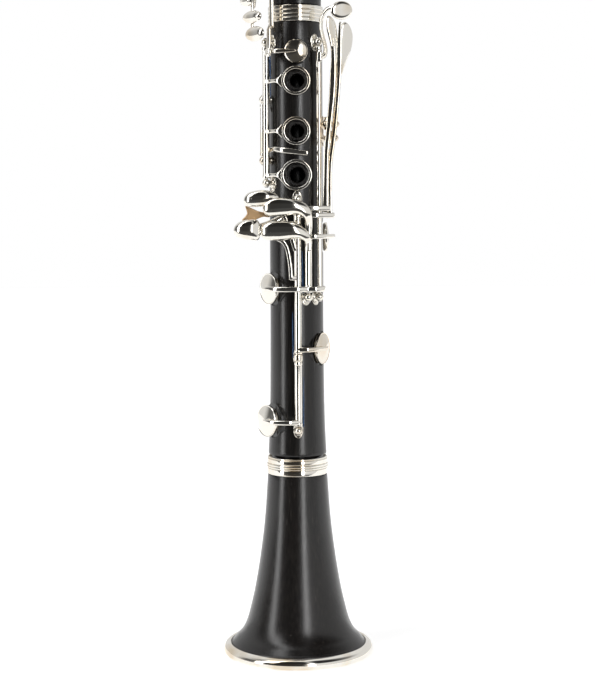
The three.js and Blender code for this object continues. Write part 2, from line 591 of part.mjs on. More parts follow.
// The middle of a rocking lever's pin, and the direction in which the pin runs.
function leverAxis(lever) {
  const foot = new THREE.Vector3(...lever.foot);
  const share = (lever.pin - lever.foot[2]) / (lever.head[2] - lever.foot[2]);
  const pivot = foot.lerp(new THREE.Vector3(...lever.head), share);
  const out = new THREE.Vector3(pivot.x, pivot.y, 0).normalize();
  const across = new THREE.Vector3().crossVectors(UP, out);
  return [pivot.addScaledVector(out, -2.4), across];
}

// The angle and radius of the ball at the far end of a rocking lever's pin.
function leverPost(lever) {
  const [centre, across] = leverAxis(lever);
  const ball = centre.addScaledVector(across, lever.post);
  return [angleAt([ball.x, ball.y]), Math.hypot(ball.x, ball.y)];
}

// A lever for the left little finger: a bar under a key's tail, a saddle on its pin, and a leaf.
function leftLever(lever, leaf, front) {
  const [centre, across] = leverAxis(lever);
  const start = centre.clone().addScaledVector(across, -1.2);
  const end = centre.clone().addScaledVector(across, 1.2);
  const saddle = rod(start, end, 1.8);
  const pieces = [...bars([lever.foot, lever.head], 2, 2), saddle, frontPlate(leaf, front, 1.5)];
  const boreStart = centre.clone().addScaledVector(across, -3);
  const boreEnd = centre.clone().addScaledVector(across, 3);
  return cut(join(pieces), [rod(boreStart, boreEnd, TUBE_BORE)]);
}

function leverPivot(lever) {
  const [centre, across] = leverAxis(lever);
  const [degrees, radius] = leverPost(lever);
  const end = centre.clone().addScaledVector(across, -1.8);
  return pinPost(degrees, LOWER_RADIUS, radius, lever.pin, end);
}

function leftELever() {
  const leaf = [[16.2, 336], [16.4, 331], [17.6, 326.6], [19, 321], [19.4, 311], [21.6, 311], [22, 326],
    [21.4, 333], [19.4, 335.2]];
  return leftLever(INNER_LEVER, leaf, -13.2);
}

function leftFSharpLever() {
  const leaf = [[22.2, 304], [24.2, 304], [25, 308.5], [26.8, 312.7], [28.9, 318], [30.2, 323.8], [30.3, 328.5],
    [28.4, 333], [26.1, 334.3], [24, 333], [23, 326], [22.6, 315]];
  return leftLever(OUTER_LEVER, leaf, -10.2);
}

function leftFLever() {
  const shank = strip([[12.4, 315.4], [16.2, 316], [15.2, 321], [13.6, 328], [13.8, 334], [16.4, 339.4],
    [20.4, 342]], 2);
  const pieces = [hingeBarrel(LEFT_F_HINGE, 191.9, 321.1, 1.5)];
  pieces.push(frontPlate(shank, -15, 1.5));
  pieces.push(frontPlate(oval(5.6, 4.6, 24.4, 340.4), -15, 1.5));
  pieces.push(new THREE.BoxGeometry(2.6, 3.6, 4).translate(12.6, -14.6, 315.6));
  pieces.push(arm([[11.8, -13.4], [10.2, -16.8]], 193.7, 2.6, 1.2));
  return hingedKey(pieces, LEFT_F_HINGE, 0, 1.05);
}

// Upper keys ---------------------------------------------------------------------------------------------

function firstFingerRingKey() {
  const pieces = [hingeBarrel(UPPER_RING_HINGE, 427.1, 456.7), padCup(0, 13.5, 452, 5)];
  pieces.push(fingerRing(0, 15.4, 424));
  pieces.push(arm([[-15, -10.4], [-13, -13], [-9.4, -15.8], [-6.4, -16.3]], 428.4, 2.6));
  pieces.push(frontArm(UPPER_RING_HINGE, 452, 3, 0, 17.3));
  return hingedKey(pieces, UPPER_RING_HINGE, -UPPER_RING_LIFT);
}

function secondFingerRingKey() {
  const pieces = [hingeBarrel(UPPER_RING_HINGE, 352.7, 422.1), padCup(0, 13.5, 387.5, 4.9)];
  pieces.push(fingerRing(0, 15.4, 402));
  pieces.push(frontArm(UPPER_RING_HINGE, 402, 3, -6.6, 16.3));
  pieces.push(frontArm(UPPER_RING_HINGE, 387.5, 3, 0, 17.3));
  pieces.push(arm([[-15.2, -10.6], [-13.9, -13.2], [-12.2, -14.6]], 355.5, 4));
  pieces.push(plate(strip([[0, 331], [0, 357.5]], 3), 1.3, onBody(-40, 18.2, 0)));
  return hingedKey(pieces, UPPER_RING_HINGE, -UPPER_RING_LIFT);
}

function crossEFlatKey() {
  const strap = [[6.6, 379.6], [1.2, 380.2], [0, 383], [0, 393]];
  const path = [at(-72.7, 16.6), at(-63, 14.9), at(-52, 15), at(-40, 16.4), at(-18, 17.3), [5.4, -17.9]];
  return crossKey(CROSS_E_FLAT_HINGE, [371.9, 382.1], [-95, 393], 4.8, 13.2, strap, path, 377);
}

function thumbRingKey() {
  const pieces = [hingeBarrel(THUMB_HINGE, 439.4, 457.1)];
  pieces.push(fingerRing(180, 15.4, 452, 8.4));
  pieces.push(arm([[14.8, 11.8], [12, 15.2], [7.4, 16.2]], 452, 3));
  pieces.push(arm([[15.8, 9.4], [17.6, 5], [17.8, 0]], 447, 3));
  return hingedKey(pieces, THUMB_HINGE);
}

function gSharpKey() {
  const pieces = [hingeBarrel(G_SHARP_HINGE, 440.3, 458.7), padCup(80, 13.4, 467, 4.6)];
  pieces.push(plate(strip([[-9.6, 456.2], [-4, 457.6], [0, 461.4], [0, 467]], 2.8), 1.4, onBody(80, 15.8, 0)));
  pieces.push(arm([[13.2, -13.2], [11.2, -16.4], [8, -17.8]], 444, 4));
  pieces.push(frontPlate(oval(3.8, 5.4, 9.4, 443.4), -17.2, 1.5));
  return hingedKey(pieces, G_SHARP_HINGE);
}

function cSharpKey() {
  const pieces = [hingeBarrel(C_SHARP_HINGE, 351.9, 374.7), padCup(20, 13.4, 352.5, 5.4)];
  pieces.push(arm([[15.4, -9.6], [12.8, -14.4], [8.6, -16.8], [5.8, -16]], 354.4, 3));
  pieces.push(arm([[16.4, -9.6], [20, -12], [25, -12.4]], 367, 3));
  pieces.push(frontPlate(oval(4.6, 7.4, 25.6, 365), -11.6, 1.5));
  return hingedKey(pieces, C_SHARP_HINGE);
}

// Where a pin crosses an angle round the body.
function onPin(pin, degrees) {
  const radius = PIN_RADIUS / Math.cos(THREE.MathUtils.degToRad(degrees - pin.square));
  return new THREE.Vector3(...at(degrees, radius), pin.z);
}

// A lever that rocks on a pin, with a pad under its top end.
function rocker(barDegrees, barSpan, pin, pad, padRadius, seat, extras) {
  const barRadius = 21.2;
  const across = new THREE.Vector3().setFromMatrixColumn(onBody(pin.square, 0, 0), 0);
  const pinAt = (distance) => onPin(pin, barDegrees).addScaledVector(across, distance);
  const low = [...at(barDegrees, barRadius), barSpan[0]];
  const high = [...at(barDegrees, barRadius), barSpan[1]];
  const cupTop = [...at(pad[0], seat + CUP_HEIGHT - 0.8), pad[1]];
  const elbow = [...at(barDegrees, barRadius - 0.6), pad[1]];
  const pieces = [...bars([low, high], 2.2, 1.4), rod(pinAt(-1.1), pinAt(1.1), 1.9), ...extras];
  pieces.push(padCup(pad[0], seat, pad[1], padRadius));
  pieces.push(rod(new THREE.Vector3(...cupTop), new THREE.Vector3(...elbow), 1));
  return cut(join(pieces), [rod(pinAt(-4), pinAt(4), TUBE_BORE)]);
}

function sideKey({ bar: degrees, pad, pin, touch, reach }) {
  const [left, right, bottom, top] = touch;
  const middle = (bottom + top) / 2;
  const face = plate(oval((right - left) / 2, (top - bottom) / 2, (left + right) / 2, middle, 0, 12), 1.5,
    onBody(-48, 21, 0));
  const web = arm(reach.map(([angle, radius]) => at(angle, radius)), middle, 3, 1.3);
  return rocker(degrees, [bottom + 1, pad[1] + 1.2], SIDE_PINS[pin], pad, 4.6, 13.2, [face, web]);
}

function registerKey() {
  const touch = plate(oval(4.2, 7, 0, 467.5), 1.4, onBody(180, 20.5, 0));
  return rocker(180, [463, 514], REGISTER_PIN, [180, 513], 3.8, 15.8, [touch]);
}

function throatAKey() {
  const touch = plate(oval(3.6, 6.2, 0, 441), 1.4, onBody(5, 20.5, 0));
  return rocker(5, [438, 481], THROAT_A_PIN, [0, 480], 4.6, 13.4, [touch]);
}

function rockerPost(pin) {
  const ball = onPin(pin, pin.post);
  return pinPost(pin.post, UPPER_RADIUS, Math.hypot(ball.x, ball.y), pin.z, onPin(pin, pin.end));
}

// The instrument ------------------------------------------------------------------------------------------

addNode('bell', grenadilla, bell());
addNode('bell_rim_ring', silver, bellRimRing());
addNode('bell_socket_ring', silver, socketRing(94.8, 104.1, 15.2, 16.3));
addNode('lower_joint', grenadilla, lowerJoint());
addNode('middle_socket_ring', silver, socketRing(334.7, LOWER_TOP, 13.5, 14.7));
addNode('lower_joint_tenon_cork', cork, collar(87.3, 101.3, 10.5, CORK));
addNode('upper_joint', grenadilla, upperJoint());
addNode('upper_joint_lower_cork', cork, collar(325.3, 339.7, 10.5, CORK));
addNode('upper_joint_upper_cork', cork, collar(531.7, 542.7, 10.5, 11.6));
addNode('barrel', grenadilla, barrel());
addNode('barrel_lower_ring', silver, socketRing(BARREL_BOTTOM, 534.1, 15.5, 16.9));
addNode('barrel_upper_ring', silver, socketRing(588.7, BARREL_TOP, 15.2, 16.6));
addNode('mouthpiece', ebonite, mouthpiece());
addNode('mouthpiece_cork', cork, collar(579.9, 590.7, 10.2, 11.6));
addNode('reed', cane, reed());
addNode('ligature', silver, ligature());
addNode('ligature_screw_upper', silver, ligatureScrew(624.5));
addNode('ligature_screw_lower', silver, ligatureScrew(611.5));
addNode('thumb_rest', silver, thumbRest());
addNode('thumb_bush', silver, bush(452, 4.4, 5.9, 16.4));
addNode('register_tube', silver, bush(513, 1.5, 3, 15.4));

addNode('lower_ring_key', silver, lowerRingKey());
addNode('cross_b_key', silver, crossBKey());
addNode('a_flat_key', silver, aFlatKey());
addNode('f_key', silver, fKey());
addNode('f_sharp_key', silver, fSharpKey());
addNode('e_key', silver, eKey());
addNode('left_e_lever', silver, leftELever());
addNode('left_f_sharp_lever', silver, leftFSharpLever());
addNode('left_f_lever', silver, leftFLever());

addNode('first_finger_ring_key', silver, firstFingerRingKey());
addNode('second_finger_ring_key', silver, secondFingerRingKey());
addNode('cross_e_flat_key', silver, crossEFlatKey());
addNode('thumb_ring_key', silver, thumbRingKey());
addNode('g_sharp_key', silver, gSharpKey());
addNode('c_sharp_key', silver, cSharpKey());
addNode('throat_a_key', silver, throatAKey());
addNode('register_key', silver, registerKey());
SIDE_KEYS.forEach((key, i) => addNode(`side_key_${i + 1}`, silver, sideKey(key)));

const LOW_BODY = 14.9;
addNode('lower_ring_posts', steel, hingePosts(RING_HINGE, LOWER_RADIUS, LOWER_POSTS.ring));
addNode('cross_b_posts', steel, hingePosts(CROSS_B_HINGE, LOWER_RADIUS, LOWER_POSTS.crossB));
addNode('right_hand_posts', steel, hingePosts(RIGHT_HAND_HINGE, LOWER_RADIUS, LOWER_POSTS.rightHand));
addNode('low_hinge_posts', steel, hingePosts(LOW_HINGE, LOW_BODY, LOWER_POSTS.low));
addNode('low_hinge_middle_post', steel, middlePost());
addNode('left_f_posts', steel, hingePosts(LEFT_F_HINGE, LOWER_RADIUS, LOWER_POSTS.leftF));
addNode('left_e_pivot', steel, leverPivot(INNER_LEVER));
addNode('left_f_sharp_pivot', steel, leverPivot(OUTER_LEVER));
addNode('upper_ring_posts', steel, hingePosts(UPPER_RING_HINGE, UPPER_RADIUS, UPPER_POSTS.ring));
addNode('cross_e_flat_posts', steel, hingePosts(CROSS_E_FLAT_HINGE, UPPER_RADIUS, UPPER_POSTS.crossEFlat));
addNode('thumb_posts', steel, hingePosts(THUMB_HINGE, UPPER_RADIUS, UPPER_POSTS.thumb));
addNode('g_sharp_posts', steel, hingePosts(G_SHARP_HINGE, UPPER_RADIUS, UPPER_POSTS.gSharp));
addNode('c_sharp_posts', steel, hingePosts(C_SHARP_HINGE, UPPER_RADIUS, UPPER_POSTS.cSharp));
SIDE_PINS.forEach((pin) => addNode(pin.name, steel, rockerPost(pin)));
addNode('register_pivot', steel, rockerPost(REGISTER_PIN));
addNode('throat_a_pivot', steel, rockerPost(THROAT_A_PIN));

export default clarinet;
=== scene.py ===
import json
import math
import random

import bmesh
import bpy
from mathutils import Matrix, Vector


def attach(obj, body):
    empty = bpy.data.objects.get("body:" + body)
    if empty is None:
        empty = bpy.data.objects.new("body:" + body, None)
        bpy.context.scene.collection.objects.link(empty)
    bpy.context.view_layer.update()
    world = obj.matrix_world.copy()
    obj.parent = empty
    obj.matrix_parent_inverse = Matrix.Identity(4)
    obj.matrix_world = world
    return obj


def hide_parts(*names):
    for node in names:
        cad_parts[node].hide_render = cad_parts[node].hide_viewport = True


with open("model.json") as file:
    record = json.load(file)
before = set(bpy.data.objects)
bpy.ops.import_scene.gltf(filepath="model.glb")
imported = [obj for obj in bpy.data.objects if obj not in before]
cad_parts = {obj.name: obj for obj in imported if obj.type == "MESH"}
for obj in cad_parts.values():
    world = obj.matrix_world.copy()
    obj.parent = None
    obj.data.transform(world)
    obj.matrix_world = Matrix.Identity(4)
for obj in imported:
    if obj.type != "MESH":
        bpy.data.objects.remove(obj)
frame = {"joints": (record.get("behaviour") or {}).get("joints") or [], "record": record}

# Millimetres throughout, +Z up, the bore on the Z axis and the finger holes towards -Y.
MM = 0.001
UP = Vector((0, 0, 1))
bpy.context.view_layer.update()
random.seed(7)

LOWER_RADIUS = 14.2
UPPER_RADIUS = 13.7
TABLE = 8.4
PIN_RADIUS = 18.7
LOWER_HOLES = 2.5
# Edges sharper than this, in degrees, are shaded as edges.
SHARP_EDGE = 38
# The large pads of the lower joint: angle, distance of the closed pad from the bore, height and radius.
A_FLAT_PAD = (90, 14.1, 220.7, 7.8)
F_PAD = (-63, 13.6, 193.5, 8.3)
F_SHARP_PAD = (65, 13.4, 161.7, 8.4)
E_PAD = (-62, 14.6, 123.8, 8.5)
LOW_PADS = (A_FLAT_PAD, F_PAD, F_SHARP_PAD, E_PAD)
# The tent's light as (bearing from the front, strength), and the strength that stands for full white in its ramps.
PEAK = 11.0
LEVEL_LIGHT = [(-180, 0.78), (-108, 0.78), (-99, 0.5), (-90, 0.12), (-70, 0.12), (-66, 6.5), (-59, 6.5),
               (-55, 0.12), (-34, 0.04), (8, 0.04), (15, 0.2), (18, 10.5), (22, 10.5), (26, 0.9), (60, 0.78),
               (100, 0.78), (180, 0.78)]
HIGH_LIGHT = [(-180, 0.85), (-104, 0.75), (-84, 0.4), (-72, 0.03), (-64, 4.2), (-46, 4.2), (-40, 0.02),
              (16, 0.025), (20, 0.5), (28, 0.5), (34, 0.03), (70, 0.03), (95, 0.2), (125, 0.8), (180, 0.85)]
LOW_LIGHT = [(-180, 0.78), (-110, 0.78), (-85, 0.07), (85, 0.07), (110, 0.78), (180, 0.78)]
ROOF_LIGHT = 1.2


# Materials ----------------------------------------------------------------------------------------


def new_material(name, **sockets):
    """A material whose constants sit on the shader's own sockets."""
    made = bpy.data.materials.new(name)
    made.use_nodes = True
    shader = made.node_tree.nodes["Principled BSDF"]
    for socket, value in sockets.items():
        shader.inputs[socket.replace("_", " ")].default_value = value
    return made, made.node_tree.nodes, made.node_tree.links, shader


def grain(nodes, links, scale, detail=4.0, roughness=0.55):
    """Noise over the object's own coordinates, stretched by a scale on each axis, per metre."""
    place = nodes.new("ShaderNodeTexCoord")
    mapping = nodes.new("ShaderNodeMapping")
    mapping.inputs["Scale"].default_value = scale
    texture = nodes.new("ShaderNodeTexNoise")
    texture.inputs["Scale"].default_value = 1.0
    texture.inputs["Detail"].default_value = detail
    texture.inputs["Roughness"].default_value = roughness
    links.new(place.outputs["Object"], mapping.inputs["Vector"])
    links.new(mapping.outputs["Vector"], texture.inputs["Vector"])
    return texture.outputs["Fac"]


def spread(nodes, links, value, low, high):
    """A value's middle range stretched to run from low to high."""
    node = nodes.new("ShaderNodeMapRange")
    node.inputs["From Min"].default_value = 0.3
    node.inputs["From Max"].default_value = 0.7
    node.inputs["To Min"].default_value = low
    node.inputs["To Max"].default_value = high
    links.new(value, node.inputs["Value"])
    return node.outputs["Result"]


def ramp(nodes, links, value, stops):
    node = nodes.new("ShaderNodeValToRGB")
    elements = node.color_ramp.elements
    while len(elements) < len(stops):
        elements.new(0.5)
    for element, (position, colour) in zip(elements, stops):
        element.position = position
        element.color = (*colour, 1)
    links.new(value, node.inputs["Fac"])
    return node.outputs["Color"]


def blend_colours(nodes, links, amount, first, second):
    node = nodes.new("ShaderNodeMix")
    node.data_type = "RGBA"
    links.new(amount, node.inputs["Factor"])
    links.new(first, node.inputs["A"])
    links.new(second, node.inputs["B"])
    return node.outputs["Result"]


def bump(nodes, links, shader, height, distance, strength=1.0):
    node = nodes.new("ShaderNodeBump")
    node.inputs["Distance"].default_value = distance
    node.inputs["Strength"].default_value = strength
    links.new(height, node.inputs["Height"])
    links.new(node.outputs["Normal"], shader.inputs["Normal"])


def wood():
    made, nodes, links, shader = new_material("oiled_grenadilla", IOR=1.5)
    fibres = grain(nodes, links, (1500, 1500, 42), 6.0, 0.62)
    pores = grain(nodes, links, (3600, 3600, 160), 2.0)
    patches = grain(nodes, links, (46, 46, 11), 3.0)
    black = ramp(nodes, links, fibres, [(0.3, (0.0036, 0.0034, 0.0034)), (0.52, (0.0078, 0.0071, 0.0066)),
                                        (0.72, (0.017, 0.0142, 0.012))])
    brown = ramp(nodes, links, fibres, [(0.3, (0.0056, 0.0047, 0.0042)), (0.55, (0.0125, 0.0098, 0.0083)),
                                        (0.75, (0.025, 0.0185, 0.0148))])
    amount = spread(nodes, links, patches, 0.0, 0.55)
    links.new(blend_colours(nodes, links, amount, black, brown), shader.inputs["Base Color"])
    links.new(spread(nodes, links, fibres, 0.18, 0.28), shader.inputs["Roughness"])
    bump(nodes, links, shader, pores, 0.00005, 0.5)
    return made


def metal(name, colour, tarnish_and_shade, roughness, scratches):
    """Plated or bare metal, with a little haze, fine handling marks and patches where it is tarnished; on the
    painted-shade plate both of its colours are painted shade and painted reflection.
    """
    made, nodes, links, shader = new_material(name, Metallic=1.0)
    haze = grain(nodes, links, (90, 90, 60), 4.0)
    marks = grain(nodes, links, (900, 1300, 700), 5.0, 0.7)
    # Random patches: real tarnish on the plated metals, and darker painted shade on the painted-shade plate.
    stain_and_shade_patches = grain(nodes, links, (34, 34, 26), 3.0)
    colours = ramp(nodes, links, stain_and_shade_patches, [(0.34, tarnish_and_shade), (0.5, colour), (0.8, colour)])
    links.new(colours, shader.inputs["Base Color"])
    links.new(spread(nodes, links, haze, roughness[0], roughness[1]), shader.inputs["Roughness"])
    bump(nodes, links, shader, marks, 0.00001 * scratches, 0.35)
    return made


def ebonite():
    made, nodes, links, shader = new_material("polished_ebonite", IOR=1.6)
    haze = grain(nodes, links, (120, 120, 60), 4.0)
    colours = ramp(nodes, links, haze, [(0.3, (0.0042, 0.0042, 0.0045)), (0.7, (0.0095, 0.0088, 0.008))])
    links.new(colours, shader.inputs["Base Color"])
    links.new(spread(nodes, links, haze, 0.12, 0.26), shader.inputs["Roughness"])
    bump(nodes, links, shader, grain(nodes, links, (1500, 1500, 900), 3.0), 0.00001, 0.3)
    return made


def cork():
    made, nodes, links, shader = new_material("natural_cork", Roughness=0.85)
    cells = grain(nodes, links, (900, 900, 900), 6.0, 0.7)
    colours = ramp(nodes, links, cells, [(0.33, (0.16, 0.085, 0.04)), (0.47, (0.43, 0.26, 0.13)),
                                         (0.7, (0.56, 0.37, 0.2))])
    links.new(colours, shader.inputs["Base Color"])
    bump(nodes, links, shader, cells, 0.00012, 0.8)
    return made


def cane():
    made, nodes, links, shader = new_material("reed_cane", Subsurface_Weight=0.08, Coat_Weight=0.1)
    fibres = grain(nodes, links, (2600, 2600, 46), 5.0, 0.6)
    colours = ramp(nodes, links, fibres, [(0.3, (0.46, 0.3, 0.12)), (0.5, (0.68, 0.5, 0.24)),
                                          (0.72, (0.8, 0.64, 0.36))])
    links.new(colours, shader.inputs["Base Color"])
    links.new(spread(nodes, links, fibres, 0.38, 0.6), shader.inputs["Roughness"])
    bump(nodes, links, shader, fibres, 0.00004, 0.6)
    return made


def pad_skin():
    made, nodes, links, shader = new_material("bladder_skin", Subsurface_Weight=0.1, Sheen_Weight=0.15)
    folds = grain(nodes, links, (520, 520, 520), 5.0, 0.6)
    colours = ramp(nodes, links, folds, [(0.3, (0.5, 0.37, 0.22)), (0.55, (0.7, 0.58, 0.4)),
                                         (0.75, (0.8, 0.71, 0.55))])
    links.new(colours, shader.inputs["Base Color"])
    links.new(spread(nodes, links, folds, 0.45, 0.7), shader.inputs["Roughness"])
    bump(nodes, links, shader, folds, 0.00006, 0.6)
    return made


def floor_paper():
    made, nodes, links, shader = new_material("floor_paper", Roughness=0.75, Emission_Color=(1, 1, 1, 1),
                                              Emission_Strength=0.5)
    tone = grain(nodes, links, (3, 3, 3), 2.0)
    colours = ramp(nodes, links, tone, [(0.3, (0.86, 0.86, 0.86)), (0.7, (0.9, 0.9, 0.9))])
    links.new(colours, shader.inputs["Base Color"])
    return made


GRENADILLA = wood()
SILVER = metal("silver_plate", (0.86, 0.83, 0.765), (0.72, 0.62, 0.48), (0.05, 0.13), 1.0)
POST_SILVER = metal("post_plate", (0.8, 0.765, 0.69), (0.62, 0.52, 0.4), (0.08, 0.2), 1.5)
# Painted shade and painted reflection: brown metal that stands for the E key's silver web lying in shade and
# mirroring the dark wood.
PAINTED_SHADE_METAL = metal("painted_shade_plate", (0.6, 0.4, 0.22), (0.42, 0.26, 0.13), (0.34, 0.5), 1.5)
BLUED = metal("blued_needle", (0.035, 0.075, 0.16), (0.09, 0.06, 0.07), (0.18, 0.32), 1.0)
STEEL = metal("screw_steel", (0.6, 0.59, 0.57), (0.4, 0.36, 0.31), (0.18, 0.34), 2.0)
EBONITE = ebonite()
CORK = cork()
CANE = cane()
PAD = pad_skin()


# Places on and round the body ---------------------------------------------------------------------


def outward(degrees):
    """The level direction at an angle from the front, positive towards +X."""
    angle = math.radians(degrees)
    return Vector((math.sin(angle), -math.cos(angle), 0))


def at(degrees, radius):
    return outward(degrees).xy * radius


def basis(along, upward, out, origin):
    rows = Matrix((along, upward, out)).transposed().to_4x4()
    rows.translation = origin
    return rows


def on_body(degrees, radius, z):
    """A frame on the body: X round it, Y up it and Z outward."""
    out = outward(degrees)
    return basis(UP.cross(out), UP, out, out * radius + UP * z)


def front_frame(y):
    """A frame on a level plane facing the front: X to the right, Y up and Z forward."""
    return basis(Vector((1, 0, 0)), UP, Vector((0, -1, 0)), Vector((0, y, 0)))


def facing(origin, direction):
    """A frame whose Z is a given direction."""
    out = direction.normalized()
    helper = Vector((0, 1, 0)) if abs(out.z) > 0.99 else UP
    along = helper.cross(out).normalized()
    return basis(along, out.cross(along), out, origin)


def angle_of(point):
    return math.degrees(math.atan2(point[0], -point[1]))


def radius_of(point):
    return math.hypot(point[0], point[1])


# Shells: each is (points, faces), in millimetres --------------------------------------------------


def moved(shell, matrix):
    points, faces = shell
    return [matrix @ point for point in points], faces


def lathe(profile, sides=48, closed=False):
    """A turned shell about Z from (radius, height) points."""
    points, rings, faces = [], [], []
    turns = [(math.cos(2 * math.pi * i / sides), math.sin(2 * math.pi * i / sides)) for i in range(sides)]
    for radius, height in profile:
        if radius < 1e-6:
            rings.append([len(points)])
            points.append(Vector((0, 0, height)))
        else:
            rings.append(list(range(len(points), len(points) + sides)))
            points += [Vector((radius * c, radius * s, height)) for c, s in turns]
    pairs = list(zip(rings, rings[1:])) + ([(rings[-1], rings[0])] if closed else [])
    for low, high in pairs:
        for i in range(sides):
            j = (i + 1) % sides
            corners = (low[i % len(low)], low[j % len(low)], high[j % len(high)], high[i % len(high)])
            face = tuple(dict.fromkeys(corners))
            if len(face) > 2:
                faces.append(face)
    return points, faces


def rounded(profile, radius=0.25, steps=3, closed=False):
    """A profile with its corners rounded."""
    points = [Vector(point) for point in profile]
    count = len(points)
    made = []
    for i, corner in enumerate(points):
        if not closed and i in (0, count - 1):
            made.append(corner)
            continue
        before = points[i - 1] - corner
        after = points[(i + 1) % count] - corner
        reach = min(radius, 0.45 * before.length, 0.45 * after.length)
        start = corner + before.normalized() * reach
        end = corner + after.normalized() * reach
        for k in range(steps + 1):
            t = k / steps
            made.append(start * (1 - t) ** 2 + corner * 2 * t * (1 - t) + end * t ** 2)
    return [tuple(point) for point in made]


def smooth(path, steps=6, closed=False):
    """A curve through the points of a path."""
    points = [Vector(point) for point in path]
    count = len(points)
    spans = count if closed else count - 1
    made = []

    def get(i):
        return points[i % count] if closed else points[min(max(i, 0), count - 1)]

    for i in range(spans):
        a, b, c, d = get(i - 1), get(i), get(i + 1), get(i + 2)
        for k in range(steps):
            t = k / steps
            made.append(0.5 * (2 * b + (c - a) * t + (2 * a - 5 * b + 4 * c - d) * t ** 2
                               + (3 * b - a - 3 * c + d) * t ** 3))
    if not closed:
        made.append(points[-1])
    return made


def turned_curve(path, steps=6):
    return [tuple(point) for point in smooth(path, steps)]


def superellipse(half_width, half_height, power, count=16):
    made = []
    for i in range(count):
        t = 2 * math.pi * (i + 0.5) / count
        c, s = math.cos(t), math.sin(t)
        made.append((half_width * math.copysign(abs(c) ** (2 / power), c),
                     half_height * math.copysign(abs(s) ** (2 / power), s)))
    return made


def sweep(path, sizes, wide, power=3.4, steps=5):
    """A bar of rounded section along a path. sizes is (width, thickness) at each point, or one for all;
    wide(point, tangent) is the direction of the width."""
    if isinstance(sizes[0], (int, float)):
        sizes = [sizes] * len(path)
    line = smooth(path, steps)
    size = smooth([(*pair, 0) for pair in sizes], steps)
    rows = []
    for i, point in enumerate(line):
        tangent = (line[min(i + 1, len(line) - 1)] - line[max(i - 1, 0)]).normalized()
        across = wide(point, tangent)
        across = (across - tangent * across.dot(tangent)).normalized()
        normal = tangent.cross(across)
        rows.append((point, tangent, across, normal, size[i].x / 2, size[i].y / 2))

    def end(row, sign):
        point, tangent, across, normal, half, thick = row
        reach = min(half, thick) * 0.45
        return [(point + tangent * sign * reach * 0.75, tangent, across, normal, half - reach * 0.35,
                 thick - reach * 0.35),
                (point + tangent * sign * reach, tangent, across, normal, half - reach, thick - reach)]

    rows = end(rows[0], -1)[::-1] + rows + end(rows[-1], 1)
    points, faces = [], []
    count = 16
    for point, _tangent, across, normal, half, thick in rows:
        for u, v in superellipse(half, thick, power, count):
            points.append(point + across * u + normal * v)
    for r in range(len(rows) - 1):
        for i in range(count):
            j = (i + 1) % count
            faces.append((r * count + i, r * count + j, (r + 1) * count + j, (r + 1) * count + i))
    faces.append(tuple(range(count)))
    faces.append(tuple(range((len(rows) - 1) * count, len(rows) * count)))
    return points, faces


def level_arm(path, z, sizes):
    """An arm in a level plane; sizes are (height, thickness)."""
    heights = z if isinstance(z, (list, tuple)) else [z] * len(path)
    line = [Vector((point[0], point[1], height)) for point, height in zip(path, heights)]
    return sweep(line, sizes, lambda point, tangent: UP)


def long_bar(path, sizes):
    """A bar that runs along the body with its broad face outward; sizes are (width, thickness)."""
    line = [Vector(point) for point in path]
    return sweep(line, sizes, lambda point, tangent: tangent.cross(Vector((point.x, point.y, 0))), steps=4)


def pin(start, end, radius, sides=20):
    """A round rod with its ends eased."""
    start, end = Vector(start), Vector(end)
    length = (end - start).length
    profile = rounded([(0, 0), (radius, 0), (radius, length), (0, length)], min(0.2, radius * 0.4))
    return moved(lathe(profile, sides), facing(start, end - start))


def needle(start, end, radius):
    """A rod that tapers towards its far end."""
    start, end = Vector(start), Vector(end)
    length = (end - start).length
    profile = [(0, 0), (radius, 0), (radius * 0.9, length * 0.4), (radius * 0.5, length * 0.97), (0, length)]
    return moved(lathe(profile, 10), facing(start, end - start))


def even(points, count):
    """Points spaced evenly round a closed outline."""
    lengths = [(points[(i + 1) % len(points)] - points[i]).length for i in range(len(points))]
    total = sum(lengths)
    made, i, walked = [], 0, 0.0
    for k in range(count):
        target = total * k / count
        while walked + lengths[i] < target:
            walked += lengths[i]
            i += 1
        t = (target - walked) / lengths[i]
        made.append(points[i].lerp(points[(i + 1) % len(points)], t))
    return made


def inset_limits(outline, normals):
    """How far each point of an outline can move inward before it meets the middle."""
    limits = []
    for point, normal in zip(outline, normals):
        limit = 100.0
        for other in outline:
            gap = other - point
            depth = gap.dot(normal)
            if depth > 1e-6:
                limit = min(limit, gap.length_squared / (2 * depth))
        limits.append(limit)
    count = len(limits)
    low = [min(limits[(i + k) % count] for k in (-2, -1, 0, 1, 2)) for i in range(count)]
    return [sum(low[(i + k) % count] for k in (-2, -1, 0, 1, 2)) / 5 for i in range(count)]


